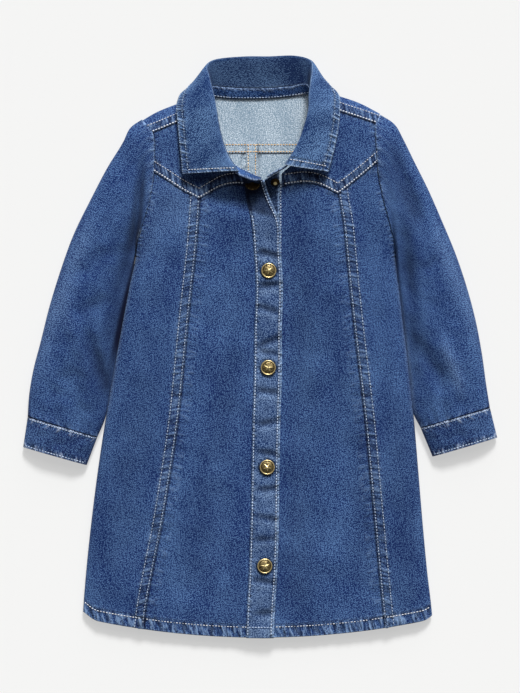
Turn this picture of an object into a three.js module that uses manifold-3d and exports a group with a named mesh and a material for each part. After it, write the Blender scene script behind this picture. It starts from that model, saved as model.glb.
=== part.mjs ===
// A toddler's denim shirt dress, laid on its back with its front up, in millimetres.
// +X is to the right as one looks down at its front, +Y runs from the hem to the collar, and +Z is up.
// z = 0 is the surface that the back of the dress rests on. "Left" and "right" are as one looks at it.
// Every cut piece is its own wall of cloth, a seam's gap apart from the pieces that it is sewn to.
import * as THREE from "three";
import { mergeVertices } from "three/addons/utils/BufferGeometryUtils.js";
import Module from "manifold-3d";

const wasm = await Module();
wasm.setup();

// Driving dimensions
const CLOTH = 1.2; // one layer of denim
const DOUBLE_CLOTH = 2; // a placket, cuff or band, two layers pressed together
const COLLAR_CLOTH = 2.2; // two layers and an interfacing
const BAND_CLOTH = 1.4;
const SEAM_GAP = 0.4;
const WELT = { width: 9.5, ramp: 1.2, height: 0.9 }; // the flat-felled strip under two rows of topstitching
const HEM = { depth: 11, ramp: 1.5, extra: 0.8 };
const HEM_LOWEST = -290.6;
const HEM_BOW = 0.00062; // how fast the hem curves up towards the side seams, per millimetre
const HEM_CORNER = { from: 158, to: 178, lift: 6 };
const SIDE_SEAM_Z = 4; // how high the side seam lies above the floor
const SIDE_ROUNDING = { front: 52, back: 5, power: 2.2 };
const SHOULDER_ROUNDING = 36;
const UNDERARM_Y = 96;
const LAP = { rise: 1.9, from: -46, to: -9 }; // the left front climbs over the right one by this much
const OPEN_TOP = { rise: 2.5, fromY: 84, toY: 150, fromX: -64, toX: -14 }; // its unsnapped top stands away
const OVER_PLACKET_Z = 3.1; // top of the over placket above the right front's own surface
const UNDER_PLACKET_Z = 0.6;
const UNDER_PLACKET_EDGE = 21; // its right edge, where the top lies open
const CUFF_GATHER_Z = 15;
const SNAP = { radius: 7.5, rim: 1.1, dome: 3.2 };
const STUD = { flange: 4.6, post: 2.1, height: 2.6 };
const BACK_YOKE_Y = 197;
const BACK_SEAM_X = -10;
const YOKE_CLEARANCE = 1; // between a yoke's lower edge and the panels that it is felled over
const NECK_GAP = 2; // from the neckline to the fronts' edge, which is turned up inside the band
// Half the difference between the outline's two ends, so that the origin is the middle of its footprint.
const FOOTPRINT_MIDDLE = { x: 0, y: -0.3 };

// The dress in sections from the chest to the hem: its side seams, the two long princess seams, the placket
// and how high the filled-out front stands there.
const BODY = [
  { y: 170, sideL: -150, princessL: -57.5, placketL: -17, placketR: 2, princessR: 76.3, sideR: 160, loft: 18 },
  { y: 148, sideL: -142, princessL: -60, placketL: -13.5, placketR: 9, princessR: 78.8, sideR: 152, loft: 18.5 },
  { y: 125, sideL: -134, princessL: -61.5, placketL: -8.5, placketR: 17.5, princessR: 82.8, sideR: 145, loft: 18.5 },
  { y: 96, sideL: -124.6, princessL: -64, placketL: -6, placketR: 20.5, princessR: 85.8, sideR: 136, loft: 18 },
  { y: 60, sideL: -131.5, princessL: -68, placketL: -4, placketR: 22.5, princessR: 89.3, sideR: 139.5, loft: 17.5 },
  { y: 18, sideL: -139, princessL: -72.5, placketL: -5.5, placketR: 21.5, princessR: 93.8, sideR: 144, loft: 17 },
  { y: -24, sideL: -146.5, princessL: -76.5, placketL: -6, placketR: 21.5, princessR: 98.8, sideR: 149, loft: 16.5 },
  { y: -75, sideL: -155, princessL: -82, placketL: -7.5, placketR: 20, princessR: 104.8, sideR: 154, loft: 16 },
  { y: -129, sideL: -163, princessL: -90, placketL: -8.5, placketR: 19, princessR: 109.8, sideR: 158.5, loft: 15 },
  { y: -177, sideL: -169, princessL: -98, placketL: -9.5, placketR: 18.5, princessR: 114.3, sideR: 162.5, loft: 14 },
  { y: -225, sideL: -174, princessL: -107.5, placketL: -11, placketR: 17, princessR: 118.8, sideR: 167, loft: 12.5 },
  { y: -264, sideL: -177, princessL: -114.5, placketL: -13, placketR: 14.5, princessR: 122.8, sideR: 171.5, loft: 10.5 },
  { y: -291, sideL: -178, princessL: -117.5, placketL: -14, placketR: 13.5, princessR: 125.8, sideR: 173.5, loft: 9 },
];

// The armholes, where the sleeves are set in, from the shoulder's tip to the underarm.
const ARMHOLE = [
  { y: 231, left: -121, right: 119 },
  { y: 224.5, left: -117.5, right: 116.5 },
  { y: 212, left: -107.5, right: 115.5 },
  { y: 195, left: -106, right: 116.5 },
  { y: 170, left: -107, right: 118.5 },
  { y: 150, left: -109.6, right: 122.4 },
  { y: 124, left: -117, right: 129.5 },
  { y: 109, left: -121.8, right: 133.6 },
  { y: 96, left: -124.6, right: 136 },
];

// The fold over the shoulders, from one armhole to the other, and the seam in front of it that the back yoke reaches.
const SHOULDER = [
  { x: -121, fold: 222, seam: 208 },
  { x: -105, fold: 233.5, seam: 214 },
  { x: -82, fold: 243, seam: 223.5 },
  { x: -54, fold: 254, seam: 236 },
  { x: 0, fold: 262, seam: 250 },
  { x: 54, fold: 257, seam: 243 },
  { x: 80, fold: 248.5, seam: 234 },
  { x: 100, fold: 241.5, seam: 227.5 },
  { x: 121, fold: 230, seam: 220.5 },
];

// The pointed front yokes' lower edge. Each half ends at its point, where the line turns sharply.
const YOKE_LEFT_OUTER = [
  { x: -112, y: 178 },
  { x: -90, y: 164 },
  { x: -77, y: 155.5 },
  { x: -60.6, y: 147 },
];
const YOKE_LEFT_INNER = [
  { x: -60.6, y: 147 },
  { x: -51.5, y: 152.5 },
  { x: -39, y: 159 },
  { x: -26, y: 161.5 },
  { x: -8, y: 160 },
];
const YOKE_RIGHT_INNER = [
  { x: 16, y: 158.5 },
  { x: 31, y: 161.5 },
  { x: 44, y: 163 },
  { x: 57, y: 161.5 },
  { x: 77.5, y: 152 },
];
const YOKE_RIGHT_OUTER = [
  { x: 77.5, y: 152 },
  { x: 88.5, y: 160.5 },
  { x: 104, y: 173 },
  { x: 122, y: 188.5 },
];

// The neckline, one row for each height on the fronts, and one for each width across the back.
const NECKLINE_FRONT = [
  { y: 160, left: -1, right: 4.4 },
  { y: 168.5, left: -14.5, right: 13.4 },
  { y: 175, left: -25, right: 23.4 },
  { y: 187, left: -34, right: 34.4 },
  { y: 202, left: -41.5, right: 42.4 },
  { y: 219, left: -47.5, right: 48.9 },
  { y: 238, left: -52, right: 53.4 },
  { y: 258, left: -53.5, right: 55.4 },
];
const NECKLINE_BACK = [
  { x: -54, y: 250 },
  { x: -45, y: 248 },
  { x: -26, y: 246.3 },
  { x: -7, y: 246 },
  { x: 18, y: 247.5 },
  { x: 44, y: 250.5 },
  { x: 54, y: 253 },
];

// Where the neck lifts the tops of the fronts off the chest, on either side of the opening.
const NECK_LIFTS = [
  { x: -8, y: 171, acrossWidth: 26, alongWidth: 9.5, height: 11.5 },
  { x: 24, y: 180, acrossWidth: 24, alongWidth: 20, height: 8 },
];

// The largest soft folds. Each runs through x, y at its angle from +X; a negative height is a trough.
const BODY_FOLDS = [
  { x: -34, y: 20, angle: 84, length: 120, width: 15, height: -1.6 },
  { x: -46, y: -120, angle: 76, length: 110, width: 20, height: -1.4 },
  { x: 44, y: -90, angle: 92, length: 130, width: 14, height: -1.8 },
  { x: 66, y: 30, angle: 97, length: 110, width: 18, height: 1.3 },
  { x: -112, y: -30, angle: 80, length: 120, width: 14, height: 1.2 },
  { x: 128, y: -60, angle: 96, length: 110, width: 12, height: -1.2 },
  { x: -95, y: 120, angle: 62, length: 46, width: 12, height: -1.4 },
  { x: 104, y: 122, angle: 112, length: 46, width: 12, height: -1.4 },
  { x: -20, y: -215, angle: 70, length: 70, width: 20, height: 1.2 },
];
const SLEEVE_LEFT_FOLDS = [
  { x: -129, y: 142, angle: 83, length: 52, width: 6.5, height: -6 },
  { x: -150, y: 60, angle: 66, length: 70, width: 13, height: -3 },
  { x: -176, y: -12, angle: 100, length: 62, width: 12, height: 2 },
  { x: -199, y: 40, angle: 70, length: 80, width: 12, height: 1.6 },
  { x: -170, y: 92, angle: 40, length: 40, width: 10, height: -1.8 },
];
const SLEEVE_RIGHT_FOLDS = [
  { x: 140, y: 150, angle: 98, length: 60, width: 8, height: -5 },
  { x: 156, y: 76, angle: 132, length: 44, width: 11, height: -3.4 },
  { x: 172, y: 10, angle: 104, length: 80, width: 13, height: -2.2 },
  { x: 198, y: 60, angle: 112, length: 80, width: 12, height: 1.8 },
  { x: 190, y: -40, angle: 80, length: 40, width: 12, height: 1.8 },
];

// The sleeves' outer and inner edges in plan, from the armhole to the cuff seam.
const SLEEVE_LEFT = {
  outer: [
    { x: -118.2, y: 225 }, { x: -129, y: 218.5 }, { x: -138, y: 206 }, { x: -151, y: 182 }, { x: -169.5, y: 147 },
    { x: -187, y: 111 }, { x: -200, y: 75 }, { x: -211, y: 39 }, { x: -220, y: 3 }, { x: -227, y: -24 },
    { x: -231, y: -48 }, { x: -232.5, y: -70.5 },
  ],
  inner: [
    { x: -125.6, y: 95.4 }, { x: -131.5, y: 78 }, { x: -135, y: 46 }, { x: -143, y: 0 }, { x: -151, y: -46 },
    { x: -157.5, y: -78 }, { x: -163, y: -91 },
  ],
  cuffEnd: { outer: { x: -237, y: -100.5 }, inner: { x: -173.5, y: -118.5 } },
  armhole: "left",
  folds: SLEEVE_LEFT_FOLDS,
};
const SLEEVE_RIGHT = {
  outer: [
    { x: 119.8, y: 230 }, { x: 134, y: 220.5 }, { x: 143, y: 207 }, { x: 155, y: 183 }, { x: 167, y: 159 },
    { x: 182, y: 125 }, { x: 196, y: 91 }, { x: 207, y: 58 }, { x: 215, y: 28 }, { x: 222, y: -9 },
    { x: 226, y: -38 }, { x: 229.7, y: -61.2 },
  ],
  inner: [
    { x: 137, y: 95.4 }, { x: 142.4, y: 76 }, { x: 144.5, y: 46 }, { x: 147.5, y: 0 }, { x: 152, y: -38 },
    { x: 155, y: -66 }, { x: 160.5, y: -81.6 },
  ],
  cuffEnd: { outer: { x: 237, y: -91 }, inner: { x: 172.3, y: -110 } },
  armhole: "right",
  folds: SLEEVE_RIGHT_FOLDS,
};
// How high the filled sleeve stands, from the armhole, 0, to the cuff seam, 1.
const SLEEVE_LOFT = [
  { t: 0, z: 19 }, { t: 0.15, z: 21 }, { t: 0.5, z: 18.5 }, { t: 0.85, z: 17.5 }, { t: 1, z: CUFF_GATHER_Z },
];

// The collar band, from the left placket's edge round the back of the neck to the right one's. Each row is a
// section: where it meets the neckline, and its upper edge.
const BAND = [
  { neck: [1, 167.6, 31.5], top: [1, 165.2, 37.5] },
  { neck: [-6, 170.6, 31.8], top: [-6, 168, 38] },
  { neck: [-14.5, 175, 30.6], top: [-14.5, 173, 37] },
  { neck: [-24, 180, 26.6], top: [-23, 178.6, 34.5] },
  { neck: [-33.5, 189.6, 22.8], top: [-32.8, 189.6, 31] },
  { neck: [-41, 203, 20.2], top: [-40, 203.4, 28.5] },
  { neck: [-47, 220, 18.8], top: [-45.5, 220.2, 27] },
  { neck: [-51.4, 238, 16], top: [-50, 238, 24] },
  { neck: [-52.4, 247, 11], top: [-52, 252, 18.5] },
  { neck: [-50, 250, 5.5], top: [-50.4, 257.6, 12.5] },
  { neck: [-43, 249.6, 3.4], top: [-46, 259.2, 9] },
  { neck: [-30, 248.2, 3.2], top: [-35, 258, 7.7] },
  { neck: [-10, 247.8, 3.2], top: [-13, 256.9, 7.2] },
  { neck: [12, 248.6, 3.2], top: [8, 257.1, 7.2] },
  { neck: [30, 250.4, 3.2], top: [30, 259, 7.8] },
  { neck: [43, 252.4, 3.8], top: [42.6, 261.4, 9.6] },
  { neck: [50.4, 252.8, 6.5], top: [47.6, 259.4, 13] },
  { neck: [52.6, 248, 12.4], top: [50.6, 251, 19.5] },
  { neck: [52.2, 239, 17], top: [51.6, 240, 24.5] },
  { neck: [49.6, 226, 19.2], top: [50.4, 226.2, 27] },
  { neck: [45, 211, 20.5], top: [46.2, 210.4, 28.5] },
  { neck: [38, 195.5, 22.8], top: [39.8, 195.6, 30.8] },
  { neck: [27.5, 181, 26.2], top: [28, 181.2, 34] },
  { neck: [16, 173.6, 28.4], top: [16, 174.4, 34.8] },
  { neck: [6.5, 168.6, 28.6], top: [6.5, 168.8, 34.4] },
];

// The collar in sections that follow the band's rows, from its fourth: the roll line where it folds over, and
// its free edge.
const COLLAR_FROM_ROW = 3;
const COLLAR = [
  { roll: [-21.4, 176.6, 38.4], edge: [-77.3, 171.5, 27.5] },
  { roll: [-30.4, 187.6, 37.6], edge: [-78.6, 186, 26.4] },
  { roll: [-36.4, 200.6, 36], edge: [-80.4, 203, 24.8] },
  { roll: [-40.4, 217, 34.5], edge: [-82.2, 222, 22.6] },
  { roll: [-43.6, 237, 32.5], edge: [-83.6, 237, 20] },
  { roll: [-47, 254, 28.5], edge: [-82.4, 245.5, 16] },
  { roll: [-50.6, 268, 23], edge: [-79, 253, 11] },
  { roll: [-53, 279.5, 15], edge: [-70, 258.5, 5] },
  { roll: [-44, 286.5, 7.5], edge: [-50, 257, 1] },
  { roll: [-16, 289.5, 4], edge: [-18, 254.5, 0.1] },
  { roll: [9, 289.6, 3.8], edge: [9, 254.5, 0.1] },
  { roll: [34, 290.2, 5], edge: [38, 257.5, 0.6] },
  { roll: [47.5, 286, 10.5], edge: [58, 261.5, 3] },
  { roll: [49.5, 276, 18], edge: [68.5, 258, 7.5] },
  { roll: [49.4, 264, 25], edge: [77, 250, 13.4] },
  { roll: [48.6, 250, 30], edge: [79.6, 239, 19] },
  { roll: [48, 236, 33], edge: [79, 226, 21.8] },
  { roll: [44, 220, 35], edge: [76.8, 211, 23.4] },
  { roll: [36.8, 200.4, 36.4], edge: [73, 193, 25.4] },
  { roll: [24.6, 180, 37.6], edge: [67.6, 173.5, 27.5] },
];
const COLLAR_STATIONS = 46;
const BAND_STATIONS = 48;
const COLLAR_SEAM_GAP = 0.05; // of the way from the band to the roll line
const ROLL_TURN = 11; // how briskly the collar turns over its roll line
const LEAF_PUFF = 1.6;

// Smooth lines and steps

// A smooth line through a table's rows: the column `to` as a function of the column `from`.
function along(rows, from, to) {
  const sorted = [...rows].sort((a, b) => a[from] - b[from]);
  const xs = sorted.map((row) => row[from]);
  const ys = sorted.map((row) => row[to]);
  const last = xs.length - 1;
  const rise = (i) => (ys[i + 1] - ys[i]) / (xs[i + 1] - xs[i]);
  const slopes = xs.map((_, i) => {
    if (i === 0) return rise(0);
    if (i === last) return rise(last - 1);
    const before = xs[i] - xs[i - 1];
    const after = xs[i + 1] - xs[i];
    return (rise(i) * before + rise(i - 1) * after) / (before + after);
  });
  return (x) => {
    if (x <= xs[0]) return ys[0] + slopes[0] * (x - xs[0]);
    if (x >= xs[last]) return ys[last] + slopes[last] * (x - xs[last]);
    let i = 0;
    while (x > xs[i + 1]) i += 1;
    const width = xs[i + 1] - xs[i];
    return hermite(ys[i], ys[i + 1], slopes[i] * width, slopes[i + 1] * width, (x - xs[i]) / width);
  };
}

function hermite(start, end, startSlope, endSlope, t) {
  const t2 = t * t;
  const t3 = t2 * t;
  return (
    start * (2 * t3 - 3 * t2 + 1) + startSlope * (t3 - 2 * t2 + t) + end * (3 * t2 - 2 * t3) + endSlope * (t3 - t2)
  );
}

// A smooth curve in plan through points, with t from 0 to 1 by the distance along it.
function planCurve(points) {
  const measured = points.map((p) => ({ ...p, s: 0 }));
  for (let i = 1; i < measured.length; i += 1) {
    const [a, b] = [measured[i - 1], measured[i]];
    b.s = a.s + Math.hypot(b.x - a.x, b.y - a.y);
  }
  const total = measured.at(-1).s;
  const x = along(measured, "s", "x");
  const y = along(measured, "s", "y");
  return (t) => ({ x: x(t * total), y: y(t * total) });
}

const clamp = (x) => Math.min(1, Math.max(0, x));
const mix = (a, b, t) => a + (b - a) * t;
const steps = (count) => Array.from({ length: count + 1 }, (_, i) => i / count);

function smoothstep(from, to, x) {
  const t = clamp((x - from) / (to - from));
  return t * t * (3 - 2 * t);
}

// How far up its full height a rounded edge has risen at a distance in from it: upright at the edge, level at `width`.
const rounded = (distance, width, power = SIDE_ROUNDING.power) =>
  (1 - (1 - clamp(distance / width)) ** power) ** (1 / power);

// The height that a table of soft folds adds at a point.
function foldsAt(folds, x, y) {
  let sum = 0;
  for (const fold of folds) {
    const angle = THREE.MathUtils.degToRad(fold.angle);
    const dx = x - fold.x;
    const dy = y - fold.y;
    const run = (dx * Math.cos(angle) + dy * Math.sin(angle)) / fold.length;
    const off = (dy * Math.cos(angle) - dx * Math.sin(angle)) / fold.width;
    sum += fold.height * Math.exp(-(run ** 4) - off * off);
  }
  return sum;
}

// The lines of the dress

const body = Object.fromEntries(Object.keys(BODY[0]).map((name) => [name, along(BODY, "y", name)]));
const armhole = { left: along(ARMHOLE, "y", "left"), right: along(ARMHOLE, "y", "right") };
const shoulderFold = along(SHOULDER, "x", "fold");
const shoulderSeam = along(SHOULDER, "x", "seam");
const neckFront = { left: along(NECKLINE_FRONT, "y", "left"), right: along(NECKLINE_FRONT, "y", "right") };
const neckBack = along(NECKLINE_BACK, "x", "y");
const yokeLeft = { outer: along(YOKE_LEFT_OUTER, "x", "y"), inner: along(YOKE_LEFT_INNER, "x", "y") };
const yokeRight = { outer: along(YOKE_RIGHT_OUTER, "x", "y"), inner: along(YOKE_RIGHT_INNER, "x", "y") };
const yokePoint = { left: YOKE_LEFT_INNER[0].x, right: YOKE_RIGHT_OUTER[0].x };
const yokeLine = {
  left: (x) => (x < yokePoint.left ? yokeLeft.outer(x) : yokeLeft.inner(x)),
  right: (x) => (x > yokePoint.right ? yokeRight.outer(x) : yokeRight.inner(x)),
};
const leftEdge = (y) => (y > UNDERARM_Y ? armhole.left(y) : body.sideL(y));
const rightEdge = (y) => (y > UNDERARM_Y ? armhole.right(y) : body.sideR(y));
const hemLine = (x) =>
  HEM_LOWEST + HEM_BOW * x * x + HEM_CORNER.lift * smoothstep(HEM_CORNER.from, HEM_CORNER.to, Math.abs(x)) ** 2;

// Height of the right front's upper surface: rounded down to the side seams and to the shoulder fold.
function frontZ(x, y) {
  const fromSide = Math.min(x - body.sideL(y), body.sideR(y) - x);
  const fromShoulder = shoulderFold(x) - y;
  const full = body.loft(Math.min(y, BODY[0].y)) - SIDE_SEAM_Z;
  const edge = SIDE_SEAM_Z + SEAM_GAP / 2;
  const swell = rounded(fromSide, SIDE_ROUNDING.front) * rounded(fromShoulder, SHOULDER_ROUNDING);
  const lift = NECK_LIFTS.reduce(
    (sum, n) =>
      sum + n.height * Math.exp(-(((x - n.x) / n.acrossWidth) ** 2) - ((Math.min(y, n.y) - n.y) / n.alongWidth) ** 2),
    0,
  );
  return edge + full * swell + (lift + foldsAt(BODY_FOLDS, x, y)) * clamp(swell) ** 2;
}

// The left front lies over the right one beside the opening.
const openTop = (x, y) =>
  OPEN_TOP.rise * smoothstep(OPEN_TOP.fromY, OPEN_TOP.toY, y) * smoothstep(OPEN_TOP.fromX, OPEN_TOP.toX, x);
const leftFrontZ = (x, y) => frontZ(x, y) + LAP.rise * smoothstep(LAP.from, LAP.to, x) + openTop(x, y);

function backZ(x, y) {
  const fromSide = y > UNDERARM_Y ? SIDE_ROUNDING.back : Math.min(x - body.sideL(y), body.sideR(y) - x);
  return (SIDE_SEAM_Z - SEAM_GAP / 2) * (1 - rounded(fromSide, SIDE_ROUNDING.back));
}

// How much a felled seam's strip stands up at a distance from its edge.
const weltAt = (distance) => WELT.height * (1 - smoothstep(WELT.width, WELT.width + WELT.ramp, distance));

// Walls of cloth

// A closed wall over a grid of points on one face of the cloth. Rows and columns run so that rows x columns points
// out of that face. `thickness` goes the other way. Columns of a tube close on themselves.
// `upright` columns are the ends of a rounded side, where the face stands straight up.
function clothWall(grid, thickness, { tube = false, upright = [] } = {}) {
  const rows = grid.length;
  const columns = grid[0].length;
  const at = (r, c) => grid[r][tube ? (c + columns) % columns : Math.min(columns - 1, Math.max(0, c))];
  const positions = [];
  const inside = [];
  const [down, across, normal, inner] = [0, 1, 2, 3].map(() => new THREE.Vector3());
  for (let r = 0; r < rows; r += 1) {
    for (let c = 0; c < columns; c += 1) {
      down.subVectors(at(Math.min(rows - 1, r + 1), c), at(Math.max(0, r - 1), c));
      across.subVectors(at(r, c + 1), at(r, c - 1));
      normal.crossVectors(down, across);
      if (upright.includes(c)) normal.z = 0;
      normal.normalize();
      inner.copy(grid[r][c]).addScaledVector(normal, -thickness(r, c));
      positions.push(grid[r][c].x, grid[r][c].y, grid[r][c].z);
      inside.push(inner.x, inner.y, inner.z);
    }
  }
  const half = rows * columns;
  const faces = [];
  const quad = (a, b, c, d) => faces.push(a, b, c, a, c, d);
  const wrap = (c) => c % columns;
  const index = (r, c) => r * columns + wrap(c);
  const lastColumn = tube ? columns : columns - 1;
  for (let r = 0; r < rows - 1; r += 1) {
    for (let c = 0; c < lastColumn; c += 1) {
      const [a, b, d, e] = [index(r, c), index(r + 1, c), index(r + 1, c + 1), index(r, c + 1)];
      quad(a, b, d, e);
      quad(a + half, e + half, d + half, b + half);
    }
  }
  const rim = (p, q) => quad(q, p, p + half, q + half);
  for (let c = 0; c < lastColumn; c += 1) {
    rim(index(0, c + 1), index(0, c));
    rim(index(rows - 1, c), index(rows - 1, c + 1));
  }
  if (!tube) {
    for (let r = 0; r < rows - 1; r += 1) {
      rim(index(r, 0), index(r + 1, 0));
      rim(index(r + 1, columns - 1), index(r, columns - 1));
    }
  }
  const geometry = new THREE.BufferGeometry();
  geometry.setAttribute("position", new THREE.Float32BufferAttribute([...positions, ...inside], 3));
  geometry.setIndex(faces);
  return geometry;
}

// Stops between two ends: at fixed distances from each end, with `between` more spread over the rest.
function stops({ first = [0], between = 0, last = [0] }) {
  const near = first.map((d) => (a, b) => a + Math.sign(b - a) * d);
  const far = [...last].reverse().map((d) => (a, b) => b - Math.sign(b - a) * d);
  const middle = steps(between + 1)
    .slice(1, -1)
    .map((t) => (a, b) => mix(near.at(-1)(a, b), far[0](a, b), t));
  return [...near, ...middle, ...far];
}

// A grid of points for a cut piece between two side lines, x as a function of y, and two end lines, y as a
// function of x. Each stop is a function of the two ends that it lies between.
function panelGrid({ left, right, start, end, columns, rows, z }) {
  return rows.map((rowStop) =>
    columns.map((columnStop) => {
      let x = 0;
      let y = (start(0) + end(0)) / 2;
      for (let i = 0; i < 30; i += 1) {
        x = columnStop(left(y), right(y));
        y = mix(y, rowStop(start(x), end(x)), 0.7);
      }
      return new THREE.Vector3(x, y, z(x, y));
    }),
  );
}

const inset = (line, by) => (t) => line(t) + by;
const half = SEAM_GAP / 2;
const pieces = new THREE.Group();

function addPiece(name, geometry, material) {
  const mesh = new THREE.Mesh(geometry, material);
  mesh.name = name;
  pieces.add(mesh);
  return mesh;
}

const denim = new THREE.MeshStandardMaterial({ name: "denim", color: 0x36507c, roughness: 0.9, metalness: 0 });
const brass = new THREE.MeshStandardMaterial({ name: "antique_brass", color: 0x8f7f52, roughness: 0.35, metalness: 1 });

// Fronts: on each side a centre panel and a side panel below the yoke, felled together along the princess seam.

const frontRows = stops({ first: [0, 10], between: 17, last: [0, HEM.depth, HEM.depth + HEM.ramp] });
const sideEdgeStops = [0, 0.7, 2.6, 7, 15, 26];
const weltStops = [0, WELT.width, WELT.width + WELT.ramp];
const hemThickness = (rows) => (r) => (r >= rows - 2 ? CLOTH + HEM.extra : CLOTH);

function frontPanels(side) {
  const sign = side === "left" ? -1 : 1;
  const princess = side === "left" ? body.princessL : body.princessR;
  const height = side === "left" ? leftFrontZ : frontZ;
  const shared = { start: inset(yokeLine[side], -YOKE_CLEARANCE), end: hemLine, rows: frontRows };
  const outerLine = side === "left" ? leftEdge : rightEdge;
  const seamSide = inset(princess, sign * half);
  const fromEdge = stops({ first: sideEdgeStops, between: 1, last: weltStops });
  const sidePanel = panelGrid({
    ...shared,
    left: side === "left" ? outerLine : seamSide,
    right: side === "left" ? seamSide : outerLine,
    columns: side === "left" ? fromEdge : mirrored(fromEdge),
    z: (x, y) => height(x, y) + weltAt(Math.abs(x - princess(y))),
  });
  addPiece(
    `front_side_${side}`,
    clothWall(sidePanel, hemThickness(frontRows.length), { upright: [side === "left" ? 0 : fromEdge.length - 1] }),
    denim,
  );
  const opening = side === "left" ? inset(body.placketL, -half) : inset(underPlacketRight, half);
  const centrePanel = panelGrid({
    ...shared,
    left: side === "left" ? inset(princess, half) : opening,
    right: side === "left" ? opening : inset(princess, -half),
    columns: stops({ between: 5 }),
    z: height,
  });
  addPiece(`front_centre_${side}`, clothWall(centrePanel, hemThickness(frontRows.length)), denim);
}

// The same stops counted from the other end.
const mirrored = (list) => [...list].reverse().map((stop) => (a, b) => stop(b, a));

// The right front's placket ends just inside the over placket's edge, below the chest.
function underPlacketRight(y) {
  return Math.min(UNDER_PLACKET_EDGE, body.placketR(Math.min(y, 90)) - 1.6) - 3 * smoothstep(-180, -285, y);
}

frontPanels("left");
frontPanels("right");

// Front yokes, from the seam in front of the shoulder down to the pointed edge, round the neckline.

function frontYoke(side) {
  const left = side === "left";
  const corner = yokePoint[side];
  const cornerY = yokeLine[side](corner);
  const outerLine = armhole[side];
  const neckSide = (y) => {
    if (left) return Math.min(neckFront.left(y) - NECK_GAP, body.placketL(y) - half);
    return Math.max(neckFront.right(y) + NECK_GAP, UNDER_PLACKET_EDGE + half);
  };
  const lines = left ? [outerLine, neckSide] : [neckSide, outerLine];
  const turn = (corner - lines[0](cornerY)) / (lines[1](cornerY) - lines[0](cornerY));
  const shares = [...steps(4).map((t) => t * turn), ...steps(4).slice(1).map((t) => mix(turn, 1, t))];
  const rows = stops({ first: [0, 3], between: 5, last: weltStops });
  const grid = panelGrid({
    left: lines[0],
    right: lines[1],
    start: inset(shoulderSeam, -half),
    end: inset(yokeLine[side], half),
    columns: shares.map((t) => (a, b) => mix(a, b, t)),
    rows,
    z: (x, y) => (left ? leftFrontZ : frontZ)(x, y) + weltAt((y - yokeLine[side](x)) * 0.86),
  });
  addPiece(`front_yoke_${side}`, clothWall(grid, () => CLOTH), denim);
}

frontYoke("left");
frontYoke("right");

// Plackets: the left one laps over the right one and is snapped to it, but for the open snap at the neck.

const overPlacketZ = (x, y) => frontZ(x, y) + OVER_PLACKET_Z + openTop(x, y);
const placketRows = stops({ first: [0, 3, 6, 9, 12, 16, 22], between: 22, last: [0, HEM.depth] });
addPiece(
  "placket_over",
  clothWall(
    panelGrid({
      left: inset(body.placketL, half),
      right: body.placketR,
      start: (x) => mix(171.6, 163.4, clamp((x + 17) / 19)),
      end: inset(hemLine, -0.4),
      columns: stops({ between: 2 }),
      rows: placketRows,
      z: overPlacketZ,
    }),
    () => DOUBLE_CLOTH,
  ),
  denim,
);
addPiece(
  "placket_under",
  clothWall(
    panelGrid({
      left: (y) => Math.max(underPlacketRight(y) - 26, body.placketL(y) + 1),
      right: inset(underPlacketRight, -half),
      start: (x) => mix(158.8, 174, clamp((x + 5) / 26)),
      end: inset(hemLine, 1.2),
      columns: stops({ between: 2 }),
      rows: placketRows,
      z: (x, y) => frontZ(x, y) + UNDER_PLACKET_Z,
    }),
    () => DOUBLE_CLOTH - 0.2,
  ),
  denim,
);

// Backs: two panels with a centre seam, and a yoke whose ends fold forward over the shoulders.

const backRows = stops({ first: [0, HEM.depth, 180, 330], between: 10, last: [0] });
const backEdgeStops = [0, 0.5, 1.8, 5, 12];
function backPanel(side) {
  const left = side === "left";
  const fromEdge = stops({ first: backEdgeStops, between: 1, last: [0] });
  const grid = panelGrid({
    left: left ? leftEdge : inset(() => BACK_SEAM_X, half),
    right: left ? inset(() => BACK_SEAM_X, -half) : rightEdge,
    start: hemLine,
    end: () => BACK_YOKE_Y - half,
    columns: left ? fromEdge : mirrored(fromEdge),
    rows: backRows,
    z: backZ,
  });
  addPiece(`back_${side}`, clothWall(grid, () => CLOTH, { upright: [left ? 0 : fromEdge.length - 1] }), denim);
}
backPanel("left");
backPanel("right");

function manifoldOf(geometry) {
  const merged = mergeVertices(geometry, 1e-4);
  return new wasm.Manifold(
    new wasm.Mesh({
      numProp: 3,
      vertProperties: merged.attributes.position.array,
      triVerts: new Uint32Array(merged.index.array),
    }),
  );
}

function geometryOf(solid) {
  const mesh = solid.getMesh();
  const geometry = new THREE.BufferGeometry();
  geometry.setAttribute("position", new THREE.BufferAttribute(new Float32Array(mesh.vertProperties), 3));
  geometry.setIndex(new THREE.BufferAttribute(new Uint32Array(mesh.triVerts), 1));
  return geometry;
}

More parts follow.
